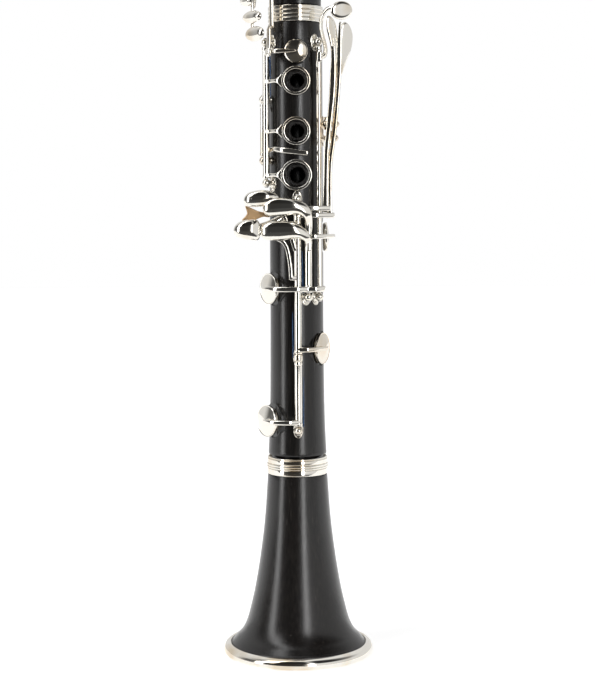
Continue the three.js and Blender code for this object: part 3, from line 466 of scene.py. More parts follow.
def pebble(outline, front, back, edge, count=72):
    """A smooth cushion of metal on an outline, in its own X and Y: front and back are how far it swells
    along +Z and -Z, and edge is how broad the rounding is."""
    flat = [Vector((x, y, 0)) for x, y in outline]
    line = even(smooth(flat, 8, closed=True), count)
    area = sum(a.x * b.y - b.x * a.y for a, b in zip(line, line[1:] + line[:1]))
    if area < 0:
        line.reverse()
    normals = []
    for i in range(count):
        along = (line[(i + 1) % count] - line[i - 1]).normalized()
        normals.append(Vector((-along.y, along.x, 0)))
    limits = inset_limits(line, normals)
    shares = [0, 0.04, 0.12, 0.25, 0.42, 0.62, 0.82]
    points, faces, rings = [], [], []

    def ring(share, height, sign):
        first = len(points)
        for point, normal, limit in zip(line, normals, limits):
            depth = min(share * limit * 0.98, 100)
            t = min(depth / edge, 1)
            swell = height * math.sqrt(max(0, 1 - (1 - t) ** 2))
            points.append(point + normal * depth + Vector((0, 0, sign * swell)))
        rings.append(list(range(first, first + count)))

    for share in reversed(shares[1:]):
        ring(share, back, -1)
    ring(0, 0, 1)
    for share in shares[1:]:
        ring(share, front, 1)
    for low, high in zip(rings, rings[1:]):
        for i in range(count):
            j = (i + 1) % count
            faces.append((low[i], low[j], high[j], high[i]))
    for cap in (rings[0][::-1], rings[-1]):
        middle = sum((points[i] for i in cap), Vector()) / count
        spread_out = max((points[i] - middle).length for i in cap)
        near = min((points[i] - middle).length for i in cap)
        if near > 0.25 * spread_out:
            points.append(middle)
            faces.extend((cap[i], cap[(i + 1) % count], len(points) - 1) for i in range(count))
        else:
            faces.append(tuple(cap))
    return points, faces


def nearest_on(spine, point):
    """The nearest point of a chain of straight lines."""
    best = None
    for start, end in zip(spine, spine[1:]):
        run = end - start
        share = min(max((point - start).dot(run) / run.length_squared, 0), 1)
        found = start + run * share
        if best is None or (point - found).length < (point - best).length:
            best = found
    return best


def cushion(outline, spine, front, back, full, crown=0.0):
    """A pillow of metal on an outline, highest along its spine. Parts narrower than full are flatter.
    The larger crown is, the more the pillow falls away towards its two sides in X."""
    count = 96
    line = even(smooth([Vector((x, y, 0)) for x, y in outline], 8, closed=True), count)
    if sum(a.x * b.y - b.x * a.y for a, b in zip(line, line[1:] + line[:1])) < 0:
        line.reverse()
    chain = smooth([Vector((x, y, 0)) for x, y in spine], 5)
    middles = [nearest_on(chain, point) for point in line]
    for _ in range(4):
        middles = [(middles[i - 1] + middles[i] * 2 + middles[(i + 1) % count]) / 4 for i in range(count)]
    centre = (min(point.x for point in line) + max(point.x for point in line)) / 2
    half = max(point.x for point in line) - centre
    tall = [min((point - middle).length / full, 1) ** 0.6 for point, middle in zip(line, middles)]
    for _ in range(6):
        tall = [(tall[i - 1] + tall[i] * 2 + tall[(i + 1) % count]) / 4 for i in range(count)]
    points, rings, faces = [], [], []
    shares = (0.03, 0.1, 0.2, 0.32, 0.46, 0.62, 0.78, 0.92)
    for height, share in [(-back, s) for s in reversed(shares)] + [(0, 0)] + [(front, s) for s in shares]:
        rings.append(list(range(len(points), len(points) + count)))
        swell = height * math.sqrt(1 - (1 - share) ** 2)
        for point, middle, part in zip(line, middles, tall):
            made = point.lerp(middle, share)
            arch = math.sqrt(max(1 - crown * ((made.x - centre) / half) ** 2, 0))
            points.append(made + Vector((0, 0, swell * part * arch)))
    for low, high in zip(rings, rings[1:]):
        faces += [(low[i], low[(i + 1) % count], high[(i + 1) % count], high[i]) for i in range(count)]
    faces += [tuple(rings[0][::-1]), tuple(rings[-1])]
    return points, faces


def oval(half_width, half_height, x=0.0, y=0.0, turn=0.0):
    count = 24
    angle = math.radians(turn)
    made = []
    for i in range(count):
        t = 2 * math.pi * i / count
        u, v = half_width * math.cos(t), half_height * math.sin(t)
        made.append((x + u * math.cos(angle) - v * math.sin(angle),
                     y + u * math.sin(angle) + v * math.cos(angle)))
    return made


def wrapped(shell, degrees, radius, z):
    """A flat shell laid round the body: its X runs round, its Y up and its Z outward."""
    points, faces = shell
    made = []
    for point in points:
        out = outward(degrees + math.degrees(point.x / radius))
        made.append(out * (radius + point.z) + UP * (z + point.y))
    return made, faces


def slotted_head(matrix, radius, height=0.6):
    """A screw head with its slot, standing on a frame's Z."""
    shells = [moved(lathe(rounded([(0, -0.4), (radius, -0.4), (radius, height * 0.45), (0, height * 0.45)],
                                  0.08), 20), matrix)]
    gap = radius * 0.16
    for sign in (1, -1):
        arc = []
        for k in range(11):
            t = math.pi * k / 10
            arc.append(Vector((radius * 0.97 * math.cos(t), sign * max(gap, radius * 0.97 * math.sin(t)), 0)))
        lift = Vector((0, 0, height))
        points = [p + Vector((0, 0, height * 0.3)) for p in arc] + [p * 0.9 + lift if p.y * sign > gap else
                                                                    Vector((p.x * 0.9, p.y,
                                                                            0)) + lift for p in arc]
        count = len(arc)
        faces = [tuple(range(count)), tuple(range(count, 2 * count))]
        faces += [(i, (i + 1) % count, count + (i + 1) % count, count + i) for i in range(count)]
        shells.append(moved((points, faces), matrix))
    return shells


# Pieces ---------------------------------------------------------------------------------------------


def merged(shells):
    points, faces = [], []
    for shell_points, shell_faces in shells:
        start = len(points)
        points += shell_points
        faces += [tuple(start + i for i in face) for face in shell_faces]
    return points, faces


def mesh_of(name, shells):
    points, faces = merged(shells)
    mesh = bpy.data.meshes.new(name)
    mesh.from_pydata([point * MM for point in points], [], faces)
    work = bmesh.new()
    work.from_mesh(mesh)
    bmesh.ops.triangulate(work, faces=[face for face in work.faces if len(face.verts) > 4])
    bmesh.ops.recalc_face_normals(work, faces=work.faces)
    work.to_mesh(mesh)
    work.free()
    mesh.polygons.foreach_set("use_smooth", [True] * len(mesh.polygons))
    mesh.set_sharp_from_angle(angle=math.radians(SHARP_EDGE))
    return mesh


def piece(name, shells, finish, body, nodes=()):
    """A piece of the instrument: it rides on a body, and stands for the CAD nodes named."""
    obj = bpy.data.objects.new(name, mesh_of(name, shells))
    obj.data.materials.append(finish)
    bpy.context.scene.collection.objects.link(obj)
    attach(obj, body)
    if nodes:
        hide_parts(*nodes)
    return obj


def carve(obj, cutters, operation="DIFFERENCE"):
    """Cuts shells out of a piece, or joins them to it, and keeps the result as its mesh."""
    tool = bpy.data.objects.new("tool", mesh_of("tool", cutters))
    bpy.context.scene.collection.objects.link(tool)
    modifier = obj.modifiers.new("carve", "BOOLEAN")
    modifier.operation = operation
    modifier.solver = "EXACT"
    modifier.use_self = True
    modifier.object = tool
    bpy.context.view_layer.update()
    result = bpy.data.meshes.new_from_object(obj.evaluated_get(bpy.context.evaluated_depsgraph_get()))
    obj.modifiers.clear()
    obj.data = result
    bpy.data.objects.remove(tool)
    result.polygons.foreach_set("use_smooth", [True] * len(result.polygons))
    result.set_sharp_from_angle(angle=math.radians(33))


BODY_OF = {node: body for body, nodes in frame["record"]["behaviour"]["bodies"].items() for node in nodes}


def hinge_of(node):
    """Where a key's hinge crosses a level plane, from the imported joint."""
    for joint in frame["joints"]:
        if joint["child"] == BODY_OF[node]:
            return Vector(joint["pos_m"]).xy / MM
    raise KeyError(node)


def lift_about(hinge, degrees):
    centre = Matrix.Translation((hinge[0], hinge[1], 0))
    return centre @ Matrix.Rotation(math.radians(degrees), 4, "Z") @ centre.inverted()


class Key:
    """The shells of one key, made where it closes and then turned about its hinge to where it rests."""

    def __init__(self, node, lift=0.0):
        self.node = node
        self.hinge = hinge_of(node)
        self.turn = lift_about(self.hinge, lift)
        self.shells = []
        self.pads = []

    def add(self, *shells):
        self.shells += [moved(shell, self.turn) for shell in shells]

    def tube(self, bottom, top, radius, collar=0.22):
        """The hinge tube, hollow, with a turned collar at each end."""
        x, y = self.hinge
        outer = [(radius + collar, bottom), (radius + collar, bottom + 1.5), (radius, bottom + 1.8),
                 (radius, top - 1.8), (radius + collar, top - 1.5), (radius + collar, top)]
        inner = [(radius - 0.5, top), (radius - 0.5, bottom)]
        shell = lathe(rounded(outer + inner, 0.14, 2, closed=True), 32, closed=True)
        self.shells.append(moved(shell, Matrix.Translation((x, y, 0))))

    def cup(self, degrees, seat, z, radius, top=3.5):
        """A pad cup with a raised rim and a shallow cone, and the pad in it."""
        rim = 2.15
        profile = [(0, 0.9), (radius - 0.35, 0.9), (radius - 0.12, 0.8), (radius, 1.0), (radius, rim - 0.1),
                   (radius - 0.16, rim + 0.08), (radius - 0.42, rim + 0.06), (radius - 0.62, rim - 0.04),
                   (radius - 0.95, rim + 0.1), (radius * 0.5, rim + 0.62 * (top - rim)), (0.9, top - 0.12),
                   (0, top - 0.04)]
        place = on_body(degrees, seat, z)
        self.add(moved(lathe(profile, 64), place))
        pad = [(0, 0.02), (radius - 1.5, 0.02), (radius - 0.8, 0.12), (radius - 0.42, 0.42),
               (radius - 0.4, 0.86), (0, 0.86)]
        self.pads.append(moved(moved(lathe(pad, 48), place), self.turn))

    def ring(self, degrees, radius, z, outer):
        inner = outer - 1.7
        profile = rounded([(inner, 0), (outer, 0), (outer, 1.6), (inner + 0.15, 1.6)], 0.5, 4, closed=True)
        self.add(moved(lathe(profile, 72, closed=True), on_body(degrees, radius, z)))

    def finish(self):
        body = BODY_OF[self.node]
        piece(self.node + "_metal", self.shells, SILVER, body, [self.node])
        if self.pads:
            piece(self.node + "_pads", self.pads, PAD, body)


# The turned body ------------------------------------------------------------------------------------


def tone_hole(degrees, z, radius, top):
    """A hole from the bore outward, eased where it comes out."""
    profile = [(0, 4), (radius, 4), (radius, top - 0.45), (radius + 0.45, top + 0.02), (radius + 0.5, 24),
               (0, 24)]
    return moved(lathe(profile, 40), on_body(degrees, 0, z))


def chimney(degrees, z, radius, top):
    profile = [(0, 9), (radius + 0.9, 9), (radius + 0.9, 13.6), (radius + 0.2, 14.6), (radius, top - 0.35),
               (radius - 0.3, top), (0, top)]
    return moved(lathe(profile, 64), on_body(degrees, 0, z))


def seat_wall(degrees, seat, z, radius):
    """The low drum of wood under a large pad."""
    top = seat - 0.37
    profile = [(0, 9), (radius + 1.1, 9), (radius + 0.8, top - 0.5), (radius + 0.65, top - 0.1),
               (radius + 0.5, top), (0, top)]
    return moved(lathe(profile, 64), on_body(degrees, 0, z))


def pad_seat(degrees, z, radius, seat):
    """The flat spot sunk round a hole that a pad closes, with the low wall that the pad meets."""
    floor = seat - 0.3
    profile = [(0, floor), (radius, floor), (radius + 0.25, floor + 0.5), (radius + 0.3, 24), (0, 24)]
    return moved(lathe(profile, 56), on_body(degrees, 0, z))


def make_bell():
    flare = turned_curve([(34.9, 5.9), (32.8, 8.2), (29.9, 11.4), (27.3, 16.6), (25.2, 24), (22.7, 35.1),
                          (20, 51.2),
                          (17.6, 70.4), (15.9, 94)], 7)
    throat = turned_curve([(9.6, 84), (12.2, 60), (17, 31), (24, 9), (30, 0.5)], 7)
    profile = ([(35.2, 0), (35.6, 0.3), (35.6, 5.2), (35.4, 5.6)] + flare
               + [(15.8, 94.5), (14.9, 94.5), (14.9, 103), (13.9, 103.2), (13.6, 103.8)]
               + [(12.5, 103.8), (12.3, 103.5), (12.3, 84)] + throat + [(30.4, 0)])
    piece("bell_wood", [lathe(profile, 144, closed=True)], GRENADILLA, "body", ["bell"])


def make_lower_joint():
    profile = [(9, 84.6), (10.8, 84.6), (11, 84.8), (11, 87), (10.2, 87), (10.2, 101.6), (11, 101.6),
               (11, 105.1),
               (14.7, 105.1), (15.35, 105.4), (15.5, 106)]
    profile += turned_curve([(15.45, 107), (15.2, 112), (14.8, 121), (14.4, 142), (LOWER_RADIUS, 178)], 5)
    profile += [(LOWER_RADIUS, 230), (LOWER_RADIUS, 290), (LOWER_RADIUS, 334), (14, 334.4), (13.2, 334.4),
                (13.2, 343.2), (13, 343.4), (12.4, 343.4), (12.3, 343.2), (12.3, 321.5), (7.4, 321.5),
                (7.4, 165)]
    joint = piece("lower_joint_wood", [lathe(profile, 144, closed=True)], GRENADILLA, "body", ["lower_joint"])
    raised = [chimney(LOWER_HOLES, z, radius, 17.2) for z, radius in ((303, 4.9), (276.6, 4.9), (253.5, 5.4))]
    carve(joint, raised + [seat_wall(*pad) for pad in LOW_PADS], "UNION")
    carve(joint, [pad_seat(LOWER_HOLES, 318.5, 6.6, 14), pad_seat(-95, 311, 5.8, 13.6)]
          + [pad_seat(degrees, z, radius + 0.5, seat) for degrees, seat, z, radius in LOW_PADS])
    holes = [(LOWER_HOLES, 303, 3.7, 17.2), (LOWER_HOLES, 276.6, 3.6, 17.2), (LOWER_HOLES, 253.5, 4.1, 17.2),
             (LOWER_HOLES, 318.5, 2.6, 13.7), (-95, 311, 2.4, 13.3)]
    holes += [(degrees, z, radius * 0.69, seat - 0.3) for degrees, seat, z, radius in LOW_PADS]
    carve(joint, [tone_hole(*hole) for hole in holes])


def make_upper_joint():
    profile = [(7.4, 322.2), (10.8, 322.2), (11, 322.5), (11, 325), (10.2, 325), (10.2, 340), (11, 340),
               (11, 343.8),
               (13.5, 343.8), (UPPER_RADIUS, 344), (UPPER_RADIUS, 400), (UPPER_RADIUS, 460),
               (UPPER_RADIUS, 528.7),
               (13.4, 529), (11, 529), (11, 531.4), (10.2, 531.4), (10.2, 543), (11, 543), (11, 546.2),
               (10.8, 546.5),
               (7.4, 546.5)]
    joint = piece("upper_joint_wood", [lathe(profile, 144, closed=True)], GRENADILLA, "body", ["upper_joint"])
    carve(joint, [chimney(0, 424, 4.7, 16.7), chimney(0, 402, 4.7, 16.7), chimney(0, 367, 4.8, 16.5)],
          "UNION")
    seats = [(20, 352.5, 5.7, 13.4), (0, 387.5, 5.3, 13.5), (0, 452, 5.4, 13.5), (-95, 393, 5.2, 13.2),
             (-100, 374, 5.2, 13.2), (-95, 430, 5.2, 13.2), (-106, 488, 5.2, 13.2), (-117, 502, 5.2, 13.2),
             (0, 480, 5, 13.4), (80, 467, 5, 13.4)]
    carve(joint, [pad_seat(*seat) for seat in seats])
    small = [(degrees, z, 2.3, seat - 0.3) for degrees, z, _radius, seat in seats]
    open_holes = [(0, 424, 3.5, 16.7), (0, 402, 3.5, 16.7), (0, 367, 3.6, 16.5), (180, 452, 5.8, 13.7),
                  (180, 513, 2.9, 13.7)]
    carve(joint, [tone_hole(*hole) for hole in small + open_holes])


def ring_profile(inner, bottom, top, bands):
    """A ferrule's section: bands are (radius, height) pairs of its outer face, with grooves between."""
    outer = []
    z = bottom
    for radius, height in bands:
        outer += [(radius - 0.4, z), (radius, z + 0.25), (radius, z + height - 0.25),
                  (radius - 0.4, z + height)]
        z += height
    return rounded([(inner, bottom)] + outer + [(inner, top)], 0.22, 3, closed=True)


def make_ferrules():
    rim = [(35.75, 0), (38.6, 0), (39.5, 0.35), (39.88, 1.2), (39.85, 2.5), (39.5, 3.6), (38.7, 4.6),
           (37.6, 5.25),
           (36.6, 5.5), (35.9, 5.35)]
    rings = {
        "bell_rim_ring": (lathe(rounded(rim, 0.4, 3, closed=True), 160, closed=True), "body"),
        "bell_socket_ring": (ring_profile(15.2, 94.8, 104.1, [(16.1, 3.3), (16.35, 1.2), (16.35, 1.3),
                                                              (16.1, 2.6), (15.9, 0.9)]), "body"),
        "middle_socket_ring": (ring_profile(13.5, 334.7, 343.4, [(14.7, 2.1), (14.65, 2.0), (14.65, 2.2),
                                                                 (14.7, 2.4)]), "body"),
        "barrel_lower_ring": (ring_profile(15.5, 529.4, 534.1, [(16.9, 1.2), (16.75, 2.3), (16.9, 1.2)]),
                              "head"),
        "barrel_upper_ring": (ring_profile(15.2, 588.7, 594, [(16.6, 1.3), (16.45, 2.7), (16.6, 1.3)]),
                              "head"),
    }
    for node, (made, body) in rings.items():
        shell = made if isinstance(made, tuple) else lathe(made, 144, closed=True)
        piece(node + "_metal", [shell], SILVER, body, [node])
    corks = {
        "lower_joint_tenon_cork": (87.3, 101.3, 12, "body"), "upper_joint_lower_cork": (325.3, 339.7, 12,
                                                                                        "body"),
        "upper_joint_upper_cork": (531.7, 542.7, 11.6, "body"), "mouthpiece_cork": (579.9, 590.7, 11.6,
                                                                                    "head"),
    }
    for node, (bottom, top, radius, body) in corks.items():
        profile = rounded([(10.25, bottom), (radius - 0.1, bottom), (radius, (bottom + top) / 2),
                           (radius - 0.1, top),
                           (10.25, top)], 0.5, 3, closed=True)
        piece(node + "_cork", [lathe(profile, 96, closed=True)], CORK, body, [node])


def make_barrel():
    outer = [(11.9, 529.4), (15.1, 529.4), (15.2, 534.4), (16.3, 534.4), (16.5, 534.8)]
    outer += turned_curve([(16.6, 537), (16.95, 545), (17.1, 555), (17.05, 565), (16.75, 577),
                           (16.2, 587.4)], 6)
    outer += [(16, 588.2), (14.9, 588.4), (14.9, 594), (11.9, 594), (11.9, 577), (7.5, 577), (7.5, 547),
              (11.9, 547)]
    piece("barrel_wood", [lathe(outer, 128, closed=True)], GRENADILLA, "head", ["barrel"])


def loft(sections):
    """A shell through level sections of equal count, closed at both ends."""
    count = len(sections[0])
    points = [Vector(point) for section in sections for point in section]
    faces = [(r * count + i, r * count + (i + 1) % count, (r + 1) * count + (i + 1) % count,
              (r + 1) * count + i)
             for r in range(len(sections) - 1) for i in range(count)]
    faces.append(tuple(range(count)))
    faces.append(tuple(range((len(sections) - 1) * count, len(sections) * count)))
    return points, faces


def mouthpiece_section(z):
    """The mouthpiece at a height: round below, flat on the table behind and sloping on the beak in front."""
    stations = [(594.4, 13.35), (597, 13.7), (606, 13.2), (630, 12.6), (667, 12)]
    radius = next(a[1] + (b[1] - a[1]) * (z - a[0]) / (b[0] - a[0]) for a,
                  b in zip(stations, stations[1:]) if z <= b[0] + 1e-6)
    table = TABLE - max(0, z - 640) ** 2 * 0.0013 if z > 599 else 20
    rise = min(1, max(0, z - 632) / 35)
    beak = -12.6 + 19.6 * rise ** 1.15
    section = []
    for i in range(80):
        angle = 2 * math.pi * i / 80
        x, y = radius * math.cos(angle), radius * math.sin(angle)
        y = min(y, table)
        if y < beak:
            y = beak + (y - beak) * 0.06
        section.append((x, y, z))
    return section


def make_mouthpiece():
    heights = [594.4, 595.2, 597, 598.9, 599.1] + [603 + 3.2 * i for i in range(20)] + [666, 667]
    shank = [(7.4, 577.4), (10.5, 577.4), (10.6, 577.6), (10.6, 579.6), (9.9, 579.6), (9.9, 591),
             (10.6, 591), (10.6, 594.7),
             (7.4, 594.7)]
    part = piece("mouthpiece_ebonite", [loft([mouthpiece_section(z) for z in heights])], EBONITE, "head",
                 ["mouthpiece"])
    carve(part, [lathe(rounded(shank, 0.2, 2, closed=True), 80, closed=True)], "UNION")
    bore = [(0, 570), (7.4, 570), (7.4, 622), (5.5, 630), (0, 631)]
    window = [(x, y, z) for z in (629, 661) for x, y in superellipse(5.5, 6, 6, 16)]
    chamber = loft([[(x, y + 4.2, z) for x, y, z in window[:16]], [(x, y + 6.2, z) for x, y,
                                                                   z in window[16:]]])
    carve(part, [lathe(bore, 64)])
    carve(part, [chamber])


def make_reed():
    sections = []
    back = TABLE + 0.3
    for z, half, thick in [(600, 5.5, 2.6), (600.6, 5.8, 2.9), (612, 5.9, 2.9), (625, 6.05, 2.9),
                           (633.4, 6.15, 2.85), (636, 6.2, 2.3),
                           (642, 6.25, 1.75), (650, 6.35, 1.15), (658, 6.4, 0.7), (663, 6.35, 0.5),
                           (665.4, 5.8, 0.42),
                           (666.4, 4.2, 0.38)]:
        section = [(-half, back, z), (half, back, z)]
        for i in range(15):
            angle = math.pi * i / 14
            swell = math.sin(angle) ** 0.6
            section.append((half * math.cos(angle), back + 0.3 + (thick - 0.3) * swell, z))
        sections.append(section)
    piece("reed_cane", [loft(sections)], CANE, "head", ["reed"])


def block(centre, size):
    """A small solid with soft corners."""
    x, y, z = centre
    half = size[2] / 2
    path = [(x, y, z - half), (x, y, z), (x, y, z + half)]
    return sweep(path, (size[0], size[1]), lambda point, tangent: Vector((1, 0, 0)), power=5.0, steps=3)


def make_ligature():
    band = [(14.3, 606), (15.05, 606), (15.2, 606.4), (15.2, 608.6), (14.95, 609), (14.95, 616.4),
            (15.2, 616.8), (15.2, 619.2),
            (14.95, 619.6), (14.95, 627), (15.2, 627.4), (15.2, 629.6), (15.05, 630), (14.3, 630)]
    shells = [lathe(rounded(band, 0.15, 2, closed=True), 120, closed=True)]
    for z in (611.5, 624.5):
        for x in (-3.3, 3.3):
            shells.append(block((x, 16.6, z), (2.6, 4.4, 6)))
    piece("ligature_metal", shells, SILVER, "head", ["ligature"])
    for node, z in (("ligature_screw_upper", 624.5), ("ligature_screw_lower", 611.5)):
        head = pebble(oval(3, 2.7, 9.6, z), 0.8, 0.8, 1.1)
        side = basis(Vector((1, 0, 0)), UP, Vector((0, -1, 0)), Vector((0, 17, 0)))
        shells = [pin((-5.4, 17, z), (6, 17, z), 0.8), pin((5.2, 17, z), (6.9, 17, z), 2), moved(head, side)]
        piece(node + "_metal", shells, SILVER, BODY_OF[node], [node])


# Posts ------------------------------------------------------------------------------------------------


def ball_post(degrees, body, ball_radius, z, ball=2.2, foot=True):
    """A turned post with a ball head, on a flange and, where there is room, a foot plate with screws."""
    height = ball_radius - body
    profile = [(0, -0.9), (1.9, -0.9), (1.9, 0.5), (2.5, 0.75), (2.55, 1.0), (1.9, 1.25), (1.3, 1.8)]
    neck = max(height - ball - 0.45, 1.9)
    profile += [(1.12, (1.8 + neck) / 2), (1.15, neck), (1.45, neck + 0.2)]
    for k in range(12):
        angle = math.radians(-52 + 142 * k / 11)
        profile.append((max(ball * math.cos(angle), 0), height + ball * math.sin(angle)))
    shells = [moved(lathe(profile, 36), on_body(degrees, body, z))]
    if foot:
        shells += foot_plate(degrees, body, z)
    return shells


def foot_plate(degrees, body, z):
    """An oval plate laid round the wood, with slotted screws."""
    shells = [wrapped(pebble(oval(2.7, 4.6), 0.75, 0.3, 0.55, count=48), degrees, body, z)]
    for x, y in ((0, 3.3), (0, -3.3)):
        turn = Matrix.Rotation(random.uniform(0, math.pi), 4, "Z")
        shells += slotted_head(on_body(degrees + math.degrees(x / body), body + 0.7, z + y) @ turn, 1.05, 0.4)
    return shells


def make_hinge_posts(node, key, body, heights, feet):
    """The posts of one hinge line with their rod, and the slotted ends of the rod."""
    hinge = hinge_of(key)
    degrees, radius = angle_of(hinge), radius_of(hinge)
    shells = []
    for z, foot in zip(heights, feet):
        shells += ball_post(degrees, body, radius, z, foot=foot)
    shells.append(pin((hinge.x, hinge.y, heights[0]), (hinge.x, hinge.y, heights[-1]), 0.75))
    piece(node + "_metal", shells, POST_SILVER, "body", [node])
    ends = slotted_head(Matrix.Translation((hinge.x, hinge.y, heights[-1] + 2.05)), 1.1, 0.4)
    flip = Matrix.Rotation(math.pi, 4, "X")
    ends += slotted_head(Matrix.Translation((hinge.x, hinge.y, heights[0] - 2.05)) @ flip, 1.1, 0.4)
    piece(node + "_screws", ends, STEEL, "body")


def make_pin_post(node, degrees, body, ball_radius, z, end, foot=True):
    """A post with a pin across it on which a lever rocks."""
    start = Vector((*at(degrees, ball_radius), z))
    shells = ball_post(degrees, body, ball_radius, z, 1.9, foot)
    shells.append(pin(start, end, 0.75))
    piece(node + "_metal", shells, POST_SILVER, "body", [node])
    out = (start - Vector(end)).normalized()
    piece(node + "_screw", slotted_head(facing(start + out * 1.75, out), 1.0, 0.4), STEEL, "body")


def make_middle_post():
    hinge = hinge_of("f_sharp_key")
    eye = rounded([(1.65, 155.9), (2.2, 155.9), (2.45, 156.5), (2.45, 159.1), (2.2, 159.7), (1.65, 159.7)],
                  0.4, 3, closed=True)
    shells = [moved(lathe(eye, 40, closed=True), Matrix.Translation((hinge.x, hinge.y, 0)))]
    stem = [(0, -1), (1.9, -1), (1.9, 0.5), (2.5, 0.8), (2.5, 1.0), (1.3, 1.7), (1.15, 2.1), (0, 2.1)]
    shells.append(moved(lathe(stem, 32), on_body(angle_of(hinge), LOWER_RADIUS, 157.8)))
    shells += foot_plate(angle_of(hinge), LOWER_RADIUS, 157.8)
    piece("low_hinge_middle_post_metal", shells, POST_SILVER, "body", ["low_hinge_middle_post"])


def make_spring(name, key, start_z, end_z, side, body):
    """A blued needle spring beside a hinge tube, from a post to the catch on its key."""
    hinge = hinge_of(key)
    degrees, radius = angle_of(hinge), radius_of(hinge)
    start = Vector((*at(degrees + side * 8.5, radius - 0.7), start_z))
    end = Vector((*at(degrees + side * 9.5, radius - 1.0), end_z))
    piece(name, [needle(start, end, 0.34)], BLUED, body)


# Lower keys -------------------------------------------------------------------------------------------


def front_arm(hinge, z, reach, radius, flare):
    """An arm that leaves a hinge tube on the left and comes round to the front, where it widens."""
    path = [(hinge[0] + 0.3, hinge[1] - 1.2), (-13, -radius + 4.4), (-9.4, -radius + 0.9), (reach, -radius)]
    return level_arm(path, z, [(2.6, 1.9), (2.1, 1.7), (2.4, 1.6), flare])


def make_lower_ring_key():
    key = Key("lower_ring_key", -4.5)
    key.tube(251.9, 321.1, 1.8)
    key.cup(LOWER_HOLES, 14, 318.5, 6.2)
    for z, outer in ((303, 7.6), (276.6, 7.5), (253.5, 8.2)):
        key.ring(LOWER_HOLES, 15.9, z, outer)
        key.add(front_arm(key.hinge, z, -6.9, 16.7, (7.4, 1.2)))
    key.add(front_arm(key.hinge, 318.5, 0.5, 17.75, (1.2, 0.8)))
    key.add(moved(long_bar([(0, 0.8, 0), (0, 0, 0.6), (0, 0, 16)], [(3.2, 2.6), (3.0, 1.6), (2.8, 1.3)]),
                  on_body(-40, 20.9, 317) @ Matrix(((1, 0, 0, 0), (0, 0, 1, 0), (0, 1, 0, 0), (0, 0, 0, 1)))))
    key.add(level_arm([(-15.2, -11), (-14.4, -13.8), (-13.4, -16)], 318.5, (3.2, 2.4)))
    key.finish()


def make_cross_key(node, tube, cup, radius, seat, strap, path, heights):
    """A key across the front: its cup is on the left and its touch comes round under the ring key's tube."""
    key = Key(node)
    key.tube(*tube, 1.6)
    key.cup(cup[0], seat, cup[1], radius)
    place = on_body(cup[0], seat + 3.6, 0)
    line = [place @ Vector((x, y, 0)) for x, y in strap]
    key.add(long_bar(line, [(2.8, 1.5)] * (len(line) - 1) + [(1.8, 0.9)]))
    sizes = [(2.4, 1.4), (2.4, 1.15), (2.5, 1.15), (2.6, 1.3), (2.9, 1.5), (2.4, 1.4)]
    key.add(level_arm(path, heights, sizes))
    key.finish()


def make_lower_cross_key():
    path = [at(-72, 17.1), at(-63, 15.5), at(-52, 15.8), at(-40, 17), at(-18, 17.9), (5.8, -18.4)]
    strap = [(6.9, 288.6), (3, 288.9), (0.4, 291), (0, 296), (0, 311)]
    make_cross_key("cross_b_key", (263.9, 291.3), (-95, 311), 5.3, 13.6, strap, path,
                   [266.4, 266.9, 267.2, 267.2, 266.3, 264.8])


def touch(outline, spine, y, front=3.3, back=1.1):
    return moved(cushion(outline, spine, front, back, 4.2, 0.86), front_frame(y))


def faced(shell, x, y, degrees):
    """A touch turned about an upright line, to face the front when its key stands open."""
    turn = Matrix.Translation((x, y, 0)) @ Matrix.Rotation(math.radians(-degrees), 4,
                                                           "Z") @ Matrix.Translation((-x, -y, 0))
    return moved(shell, turn)


def elbowed(shell, left, top, depth):
    """A touch whose lower right corner is bent back to meet its hinge."""
    points, faces = shell
    made = []
    for point in points:
        share = min(max((point.x - left) / 4, 0), 1) * min(max((top - point.z) / 9, 0), 1)
        made.append(point + Vector((0, depth * share * share * (3 - 2 * share), 0)))
    return made, faces


def make_a_flat_key():
    key = Key("a_flat_key")
    key.tube(219.3, 231.3, 2)
    outline = [(-17.4, 236.2), (-17, 238.6), (-15, 240.5), (-11, 241.5), (-5, 241.5), (1, 240.4), (5.2, 238),
               (7.7, 233.8),
               (8.3, 228.4), (7.9, 223.6), (6.2, 222.6), (4.9, 224.4), (5.0, 228.4), (3.4, 231.6),
               (0.2, 232.7), (-6, 232.1),
               (-12, 231.9), (-15.4, 232.4), (-17, 234)]
    spine = [(-12.8, 236.5), (-4, 236.8), (2, 236.1), (5.4, 233.2), (6.6, 228.6), (6.7, 224.6)]
    key.add(elbowed(touch(outline, spine, -23.4), 2.5, 234, 3.4))
    key.add(block((6.2, -20.2, 225.6), (2.4, 3.6, 6.4)))
    key.cup(*A_FLAT_PAD)
    key.add(level_arm([(6.1, -18.4), (9.6, -19.8), (15.8, -16.4), (19.6, -9.6), (18.9, -3), (17.3, 0)], 221.2,
                      [(3, 1.8), (2.6, 1.6), (2.4, 1.5), (2.4, 1.5), (2.2, 1.3), (1.2, 0.9)]))
    key.finish()


